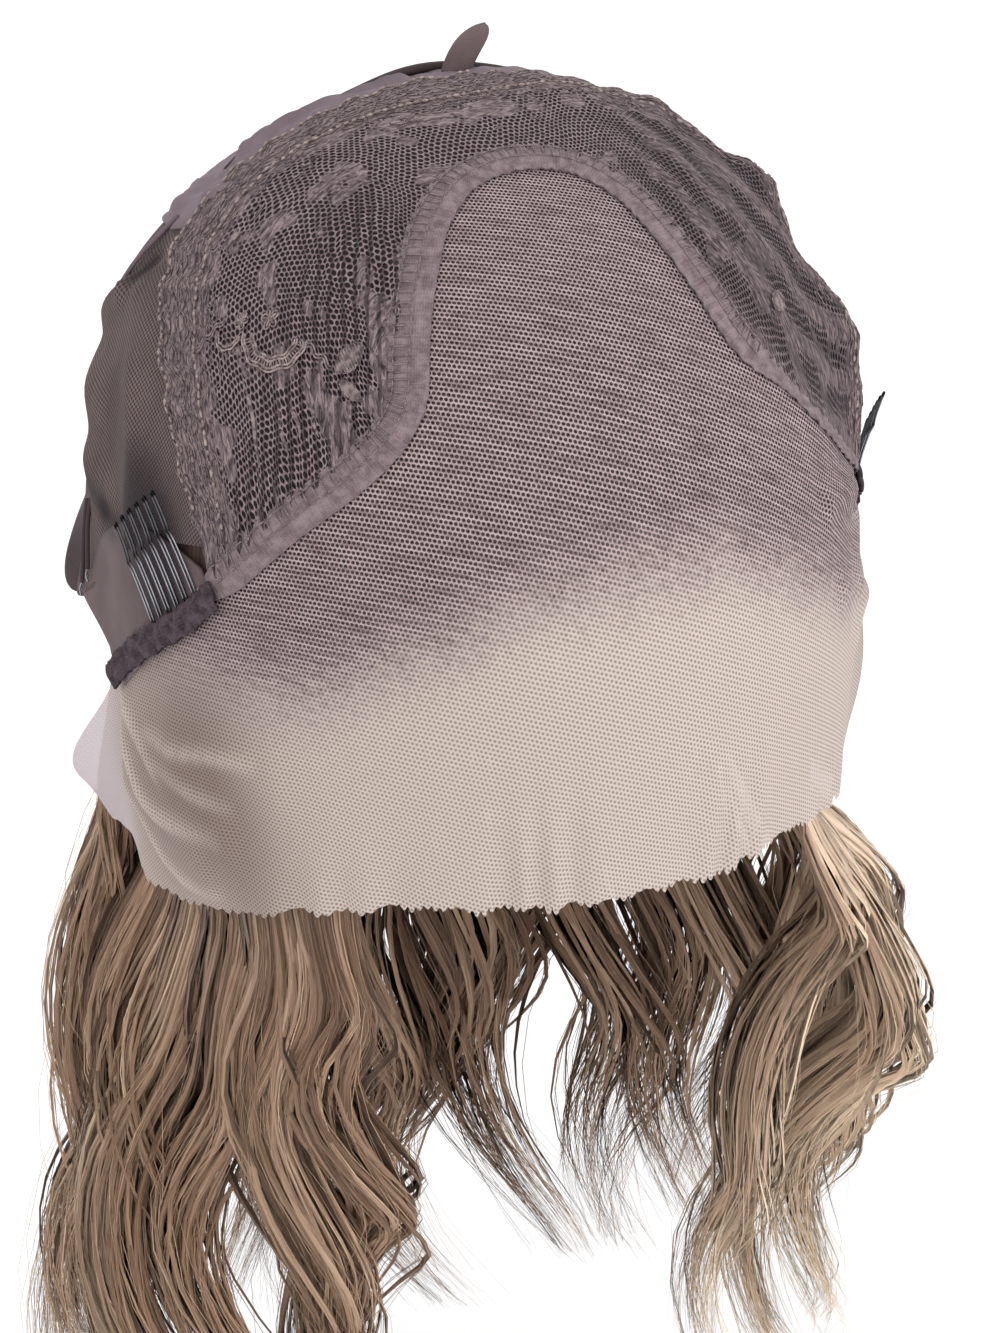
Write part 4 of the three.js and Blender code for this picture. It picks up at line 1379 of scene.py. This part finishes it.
# Rolled welts and sewn cords. Columns: name, radius, flatness, then the p, q, lift that each runs through.
KNIT_WELT = ("knit_welt", 0.75, 0.7,
             [(40.5, -13.5, 0), (44, -12.8, 0.5), (47, -13.8, 0.6), (51, -16, 0.2), (54, -19, -0.8)])
CROWN_WELT = ("crown_welt", 1.3, 0.8,
              [(-31, -20, -1.0), (-24, -21.6, 0.6), (-12, -22.4, 0.8), (2, -22, 0.6), (16, -21.6, 0.4),
               (29, -19, -1.0)])
STRAP_CORDS = [
    ("strap_cord_front", 0.5, 1.0, [(75.5, -13, 0.2), (79, -12.2, 0.9), (83.5, -10.5, 1.1)]),
    ("strap_cord_back", 0.5, 1.0, [(76, -16.5, 0.2), (80, -15, 1.0), (85.5, -13, 1.2)]),
]
CORD_STEPS = 40
CORD_SIDES = 8
HOOK_REACH = 1.4
HOOK_WIRE = 0.25
HOOK_STEPS = 8


def cord_path(places, side, steps):
    spot = spline(np.asarray(places, float) * (side, 1, 1), np.linspace(0, 1, steps))
    p, q, lift = spot.T
    return cap_point(p, q, puff_lift(p, q) + lift)[None]


def cord(row, side, ending, finish):
    name, radius, flatness, places = row
    path = cord_path(places, side, CORD_STEPS)
    thread_piece(name + ending, path, radius, finish, CORD_SIDES, flatness)


def sided_cords(wing, side, pale, dark, steel):
    """The welt, the two cords by the strap and the wire hooks at their ends."""
    cord(KNIT_WELT, side, f"_{wing}", pale)
    for row in STRAP_CORDS:
        cord(row, side, f"_{wing}", dark)
    for number, (*_, places) in enumerate(STRAP_CORDS, 1):
        p, q, lift = places[-1]
        hook = [(p, q, lift), (p + HOOK_REACH / 2, q + 0.2, lift + 0.3), (p + HOOK_REACH, q + 0.6, lift)]
        path = cord_path(hook, side, HOOK_STEPS)
        thread_piece(f"strap_hook_{number}_{wing}", path, HOOK_WIRE, steel, CORD_SIDES)


# The hair

UNDER_CAP = [-0.9, -0.4, -0.1]
WISPS_PER_LOCK = 58
WISP_STEPS = 26
WISP_SIDES = 3
WISP_HALF_WIDTHS = (0.5, 1.25)
WISP_THINNESS = 0.5
STRANDS_PER_LOCK = 168
STRAND_STEPS = 20
STRAND_SIDES = 3
STRAY_SHARE = 0.16
STRAND_RADIUS = 0.1
STRAND_PIECES = 4
HAIR_LENGTH = 230.0
ROOT_REACH = 9.0
ROOT_HALF_THICKNESS = 1.2
LOCK_STAND_OFF = 4.0
DOME_OVERLAP = (5.0, -3.0)
DOME_LIFT = -3.4
DOME_THICKNESS = 1.6
DOME_GRID = (140, 24)
DOME_FLAT = (480, 160)
CURL_WAVES = 1.9
CURL_SWING = 11.1
FRIZZ = 0.3
OWN_SHADING = 0.2
MIDDLE_TONE = 0.39
FAIR_STREAK = 0.22
# The hair on the wearer's left is partly fairer and partly painted light.
LIT_FAIR_SHARE = 0.52
LIT_FAIR_BEARING = 80.0
LIT_FAIR_REACH = 38.0


def hair_falls(steps):
    """Places down the hair: a few under the cap, then evenly to the tip."""
    return np.concatenate([UNDER_CAP, np.linspace(0.02, 1.0, steps - len(UNDER_CAP))])


def hair_path(lock, fall, across, depth, curl_phase, curl_swing, length):
    """Points of hair in one lock, with the ways out of the lock and of its rounded section. fall runs from
    below 0 under the cap to 1 at the tip, and across and depth place the hair in the lock's section."""
    bearing, width, tip, flare, late, wave, phase, sweep = lock
    turn = np.radians(bearing)
    outward = unit(np.array([math.sin(turn) / CAP_HALF_WIDTH, -math.cos(turn) / CAP_HALF_LENGTH, 0.0]))
    aside = np.array([-outward[1], outward[0], 0.0])
    edge = by_bearing(HAIR_EDGE, bearing, 1)
    leave = max(by_bearing(HAIR_EDGE, bearing, 2), edge) + LOCK_CLEAR_OF_RIM
    polar = leave - (leave - edge + ROOT_REACH) * np.clip(-fall, 0, 1)
    rim = cap_point(polar * math.sin(turn), polar * math.cos(turn), HAIR_LIFT) / MM
    free = np.clip(fall, 0, None) * length
    swing = wave * np.sqrt(free)
    main = phase + free * LOCK_WAVES * 2 * np.pi
    curl = curl_phase + 2 * phase + free * (CURL_WAVES + 0.35 * math.sin(3 * phase)) * 2 * np.pi
    curl_swing = curl_swing * (0.45 + 0.55 * free) * smoothstep(free, 0.0, 0.3)
    swell = smoothstep(free, 0.0, 0.35)
    taper = 1 - 0.5 * smoothstep(free, 0.55, 1.05)
    thick = (ROOT_HALF_THICKNESS + (LOCK_THICKNESS / 2 - ROOT_HALF_THICKNESS) * swell) * taper
    rise = free**late if late >= 1 else 1 - (1 - np.minimum(free, 1)) ** (1 / late)
    out = flare * np.sin(rise * 0.7 * np.pi) + 0.5 * swing * np.cos(main)
    out = out + 0.6 * curl_swing * np.cos(curl) + depth * thick + LOCK_STAND_OFF * swell
    side = swing * np.sin(main) + curl_swing * np.sin(curl) + across * 0.5 * width * taper
    points = rim + outward * out[..., None] + aside * side[..., None]
    points[..., 0] -= sweep * smoothstep(free, 0.06, 0.8)
    points[..., 2] += free * (tip - rim[..., 2])
    around = outward * (0.12 + depth)[..., None] + aside * (0.8 * across)[..., None]
    return points * MM, np.broadcast_to(outward, points.shape), np.broadcast_to(unit(around), points.shape)


def soften(mesh, around, sides):
    """Turns the shading of thin hair towards that of the lock it lies in."""
    own = np.empty(len(mesh.vertices) * 3, np.float32)
    mesh.vertex_normals.foreach_get("vector", own)
    whole = np.repeat(around.reshape(-1, 3), sides, axis=0)
    shaded = unit(own.reshape(-1, 3) * OWN_SHADING + whole * (1 - OWN_SHADING))
    mesh.normals_split_custom_set_from_vertices(shaded.astype(np.float32))


def hair_tone(across, depth):
    """Broad bands of brown over a lock, painted lighter to the outside and darker deeper in as shade, with
    one fair streak.
    """
    first, second = dice.uniform(0, 6, 2)
    tone = dice.normal(MIDDLE_TONE, 0.05) + 0.08 * np.sin(2.4 * across + first) + 0.05 * depth
    tone = tone + 0.07 * np.sin(5 * across + 3 * depth + second)
    fair = np.exp(-(((across - dice.uniform(-0.7, 0.7)) / 0.17) ** 2)) * (depth > 0)
    return np.clip(tone + FAIR_STREAK * fair + dice.normal(0, 0.03, len(across)), 0.05, 0.95)


def fairness_and_painted_light(bearing):
    """How much lighter the hair is on the wearer's left: partly fairer hair, partly painted light that
    stands in for the light falling on that side.
    """
    return LIT_FAIR_SHARE * math.exp(-(((bearing - LIT_FAIR_BEARING) / LIT_FAIR_REACH) ** 2))


def lock_wisps(lock):
    """Wisps of many widths, spread evenly over the lock's section."""
    count = WISPS_PER_LOCK
    turn = 2.4 * np.arange(count) + dice.uniform(0, 6)
    reach = np.sqrt((np.arange(count) + 0.5) / count)
    wisps = {
        "across": reach * np.cos(turn) + dice.normal(0, 0.06, count),
        "depth": 0.95 * reach * np.sin(turn) + dice.normal(0, 0.06, count),
        "half_width": dice.uniform(*WISP_HALF_WIDTHS, count),
        "curl": dice.normal(0, 0.4, count),
        "swing": dice.uniform(0.7, 1.3, count) * CURL_SWING,
        "length": dice.uniform(0.86, 1.0, count),
    }
    wisps["tone"] = hair_tone(wisps["across"], wisps["depth"]) + fairness_and_painted_light(lock[0])
    fall = np.broadcast_to(hair_falls(WISP_STEPS), (count, WISP_STEPS))
    placed = [wisps[key][:, None] for key in ("across", "depth", "curl", "swing", "length")]
    wisps["paths"], wisps["up"], wisps["around"] = hair_path(lock, fall, *placed)
    return wisps


def hair_wisps(all_wisps, finish):
    """Broad darker wisps that fill the locks behind the strands."""
    whole = {key: np.concatenate([wisps[key] for wisps in all_wisps]) for key in all_wisps[0]}
    share = hair_falls(WISP_STEPS)
    plump = (0.6 + 0.4 * smoothstep(share, -0.2, 0.15)) * (1 - 0.94 * smoothstep(share, 0.55, 0.98))
    tubes = len(whole["tone"])
    radius = whole["half_width"][:, None] * plump * MM
    mesh = tube_mesh("hair_wisps", whole["paths"], radius, whole["up"], WISP_SIDES, WISP_THINNESS)
    start = per_tube(dice.uniform(0, 900, tubes), WISP_STEPS, WISP_SIDES)
    wide = per_tube(whole["half_width"], WISP_STEPS, WISP_SIDES)
    around = np.tile(2 * np.pi * np.arange(WISP_SIDES) / WISP_SIDES, tubes * WISP_STEPS)
    walked = per_step(share * HAIR_LENGTH, tubes, WISP_SIDES)
    add_numbers(mesh, "rest", np.stack([wide * np.cos(around) + start, wide * np.sin(around), walked], -1))
    add_numbers(mesh, "tone", per_tube(whole["tone"], WISP_STEPS, WISP_SIDES) - 0.06)
    add_numbers(mesh, "along", per_step(np.clip(share, 0, 1), tubes, WISP_SIDES))
    new_piece("hair_wisps", mesh, finish)
    soften(mesh, whole["around"], WISP_SIDES)


def lock_strands(lock, wisps):
    """Single strands that follow the wisps, with some that stray."""
    count = STRANDS_PER_LOCK
    owner = dice.integers(0, WISPS_PER_LOCK, count)
    angle = dice.uniform(0, 2 * np.pi, count)
    reach = np.sqrt(dice.uniform(0.6, 3.0, count)) * wisps["half_width"][owner]
    stray = dice.uniform(size=count) < STRAY_SHARE
    fall = hair_falls(STRAND_STEPS)
    gather = 1 - 0.45 * smoothstep(fall, 0.5, 1.0)
    drift = stray[:, None] * dice.normal(0, 0.3, (count, 1)) * smoothstep(fall, 0.1, 1.0)
    frizz = FRIZZ * smoothstep(fall, 0.0, 0.3) * np.sin(
        dice.uniform(0, 6, (count, 1)) + dice.uniform(8, 22, (count, 1)) * fall)
    across = (reach * np.cos(angle))[:, None] * gather + frizz
    depth = (reach * np.sin(angle) * WISP_THINNESS)[:, None] * gather + frizz
    across = across * 2 / lock[1] + wisps["across"][owner, None] + drift
    depth = depth * 2 / LOCK_THICKNESS + wisps["depth"][owner, None] + drift
    curl = wisps["curl"][owner] + dice.normal(0, 0.1, count) + stray * dice.normal(0, 0.7, count)
    swing = wisps["swing"][owner] * dice.normal(1, 0.07, count) + stray * dice.normal(0, 2.0, count)
    length = np.minimum(wisps["length"][owner] * dice.uniform(0.88, 1.12, count), 1.0)
    paths, up, around = hair_path(lock, np.broadcast_to(fall, across.shape), across, depth, curl[:, None],
                                  swing[:, None], length[:, None])
    tone = np.clip(wisps["tone"][owner] + dice.normal(0.02, 0.08, count) + 0.12 * stray, 0.02, 1)
    thin = STRAND_RADIUS * (1 - 0.4 * stray)[:, None] * (1 - 0.7 * smoothstep(fall, 0.7, 1.0))
    return {"paths": paths, "up": up, "around": around, "tone": tone, "radius": thin * MM}


def hair_strands(all_strands, finish):
    """Single strands, shared out over a few pieces."""
    whole = {key: np.concatenate([strands[key] for strands in all_strands]) for key in all_strands[0]}
    fall = hair_falls(STRAND_STEPS)
    for number, rows in enumerate(np.array_split(np.arange(len(whole["tone"])), STRAND_PIECES), 1):
        name = f"hair_strands_{number}"
        mesh = tube_mesh(name, whole["paths"][rows], whole["radius"][rows], whole["up"][rows], STRAND_SIDES)
        start = per_tube(dice.uniform(0, 900, len(rows)), STRAND_STEPS, STRAND_SIDES)
        walked = per_step(fall * HAIR_LENGTH, len(rows), STRAND_SIDES)
        add_numbers(mesh, "rest", np.stack([start, 0 * start, walked], -1))
        add_numbers(mesh, "tone", per_tube(whole["tone"][rows], STRAND_STEPS, STRAND_SIDES))
        add_numbers(mesh, "along", per_step(np.clip(fall, 0, 1), len(rows), STRAND_SIDES))
        new_piece(name, mesh, finish)
        soften(mesh, whole["around"][rows], STRAND_SIDES)


def hair_dome():
    """The hair that lies flat under the cap."""
    def points(x, y):
        bearing = 360 * x - 180
        behind = smoothstep(np.abs(bearing), 96, 112)
        front_overlap, back_overlap = DOME_OVERLAP
        overlap = front_overlap + (back_overlap - front_overlap) * behind
        polar = (y * 0.995 + 0.005) * (by_bearing(HAIR_EDGE, bearing, 1) + overlap)
        turn = np.radians(bearing)
        p, q = polar * np.sin(turn), polar * np.cos(turn)
        lump = 0.4 * np.sin(26 * turn + 5 * np.sin(3 * turn)) * y
        return cap_point(p, q, DOME_LIFT + 1.5 * smoothstep(q, -14, -4) + lump)

    def weave(x, y):
        return np.stack([x, y], -1) * DOME_FLAT

    mesh = grid_mesh("hair_dome", *DOME_GRID, points, DOME_THICKNESS, weave)
    new_piece("hair_dome", mesh, hair_dome_finish(), ["hair"])


def hair():
    finish = hair_finish()
    wisps = [lock_wisps(lock) for lock in LOCKS]
    hair_wisps(wisps, finish)
    hair_strands([lock_strands(lock, made) for lock, made in zip(LOCKS, wisps)], finish)
    hair_dome()


# The stage

CAMERA_AZIMUTH = -22.0
CAMERA_ELEVATION = 30.0
CAMERA_DISTANCE_M = 0.9
CAMERA_LENS = 114.1
SENSOR_WIDTH = 36.0
FRAME_SHIFT_RIGHT_M = 0.00725
FRAME_SHIFT_UP_M = -0.0199
FLOOR_HEIGHT_M = -0.42
FLOOR_HALF_SIZE_M = 40.0


def camera():
    azimuth, elevation = math.radians(CAMERA_AZIMUTH), math.radians(CAMERA_ELEVATION)
    back = Vector((math.sin(azimuth) * math.cos(elevation), -math.cos(azimuth) * math.cos(elevation),
                   math.sin(elevation)))
    right = Vector((math.cos(azimuth), math.sin(azimuth), 0))
    upward = back.cross(right)
    data = bpy.data.cameras.new("camera")
    data.lens = CAMERA_LENS
    data.sensor_width = SENSOR_WIDTH
    made = bpy.data.objects.new("camera", data)
    target = Vector(CAP_CENTRE) + right * FRAME_SHIFT_RIGHT_M + upward * FRAME_SHIFT_UP_M
    made.location = target + back * CAMERA_DISTANCE_M
    made.rotation_mode = "QUATERNION"
    made.rotation_quaternion = (-back).to_track_quat("-Z", "Y")
    bpy.context.scene.collection.objects.link(made)
    bpy.context.scene.camera = made


def floor():
    bm = bmesh.new()
    bmesh.ops.create_grid(bm, x_segments=4, y_segments=4, size=FLOOR_HALF_SIZE_M)
    bmesh.ops.translate(bm, verts=bm.verts, vec=(0, 0, FLOOR_HEIGHT_M))
    mesh = bpy.data.meshes.new("floor")
    bm.to_mesh(mesh)
    bm.free()
    made = bpy.data.objects.new("floor", mesh)
    bpy.context.scene.collection.objects.link(made)
    finish = Finish("pale floor", roughness=0.9, base_color=shade(246, 246, 247))
    mesh.materials.append(finish.material)


# Soft lights. Columns: name, place in metres, size in metres, power in watts.
LIGHTS = [
    ("key", (-0.9, -1.3, 1.3), 1.4, 12),
    ("fill", (1.2, -1.3, 0.0), 1.6, 17),
    ("back", (0.4, 1.6, 1.2), 1.4, 7),
]


def lights():
    world = bpy.data.worlds.new("studio")
    world.use_nodes = True
    world.node_tree.nodes["Background"].inputs["Color"].default_value = (1.0, 1.0, 1.0, 1.0)
    world.node_tree.nodes["Background"].inputs["Strength"].default_value = 1.0
    bpy.context.scene.world = world
    for name, place, size, power in LIGHTS:
        data = bpy.data.lights.new(name, "AREA")
        data.size = size
        data.energy = power
        made = bpy.data.objects.new(name, data)
        made.location = place
        made.rotation_mode = "QUATERNION"
        made.rotation_quaternion = (Vector(CAP_CENTRE) - Vector(place)).to_track_quat("-Z", "Y")
        bpy.context.scene.collection.objects.link(made)
    bpy.context.scene.view_settings.view_transform = "Standard"


# Satins. Columns: name, dark and light colour on a screen, roughness.
SATINS = [
    ("satin", (94, 79, 86), (134, 117, 125), 0.55),
    ("taupe satin", (84, 70, 71), (118, 101, 102), 0.55),
    ("strap satin", (58, 48, 50), (86, 73, 76), 0.6),
]
# The two ears. Columns: name, sign of X, lift of the comb's tips, share of the teeth that lies on the cap.
WINGS = [
    ("right", -1, 1.0, 1.0),
    ("left", 1, 9.0, 0.62),
]

camera()
floor()
lights()

lace = lace_front()
stretch, stretch_work = stretch_lace()
tape, tape_work = seam_tape()
satin, taupe, strap_satin = (
    cloth_finish(name, shade(*dark), shade(*light), ribs=(3.0, 3.0), roughness=roughness, depth=0.06)
    for name, dark, light, roughness in SATINS)
knit = knit_finish()
comb_cloth = cloth_finish("comb tape cloth", shade(44, 36, 40), shade(92, 80, 86), (0.9, 1.3),
                          roughness=0.85, depth=0.3, mottle=0.4, grain=0.25)
steel = steel_finish()
crown = crown_satin(satin)
back = back_panel(knit)
tab = crown_tab(taupe)
for wing, side, tip_lift, lay in WINGS:
    flap = ear_tab(wing, side, taupe)
    bound = comb_tape(f"comb_tape_{wing}", side, comb_cloth)
    comb(f"comb_{wing}", side, tip_lift, lay, steel)
    hanging = strap(f"strap_{wing}", side, strap_satin)
    sided_cords(wing, side, satin, strap_satin, steel)
cord(CROWN_WELT, 1, "", strap_satin)
hair()
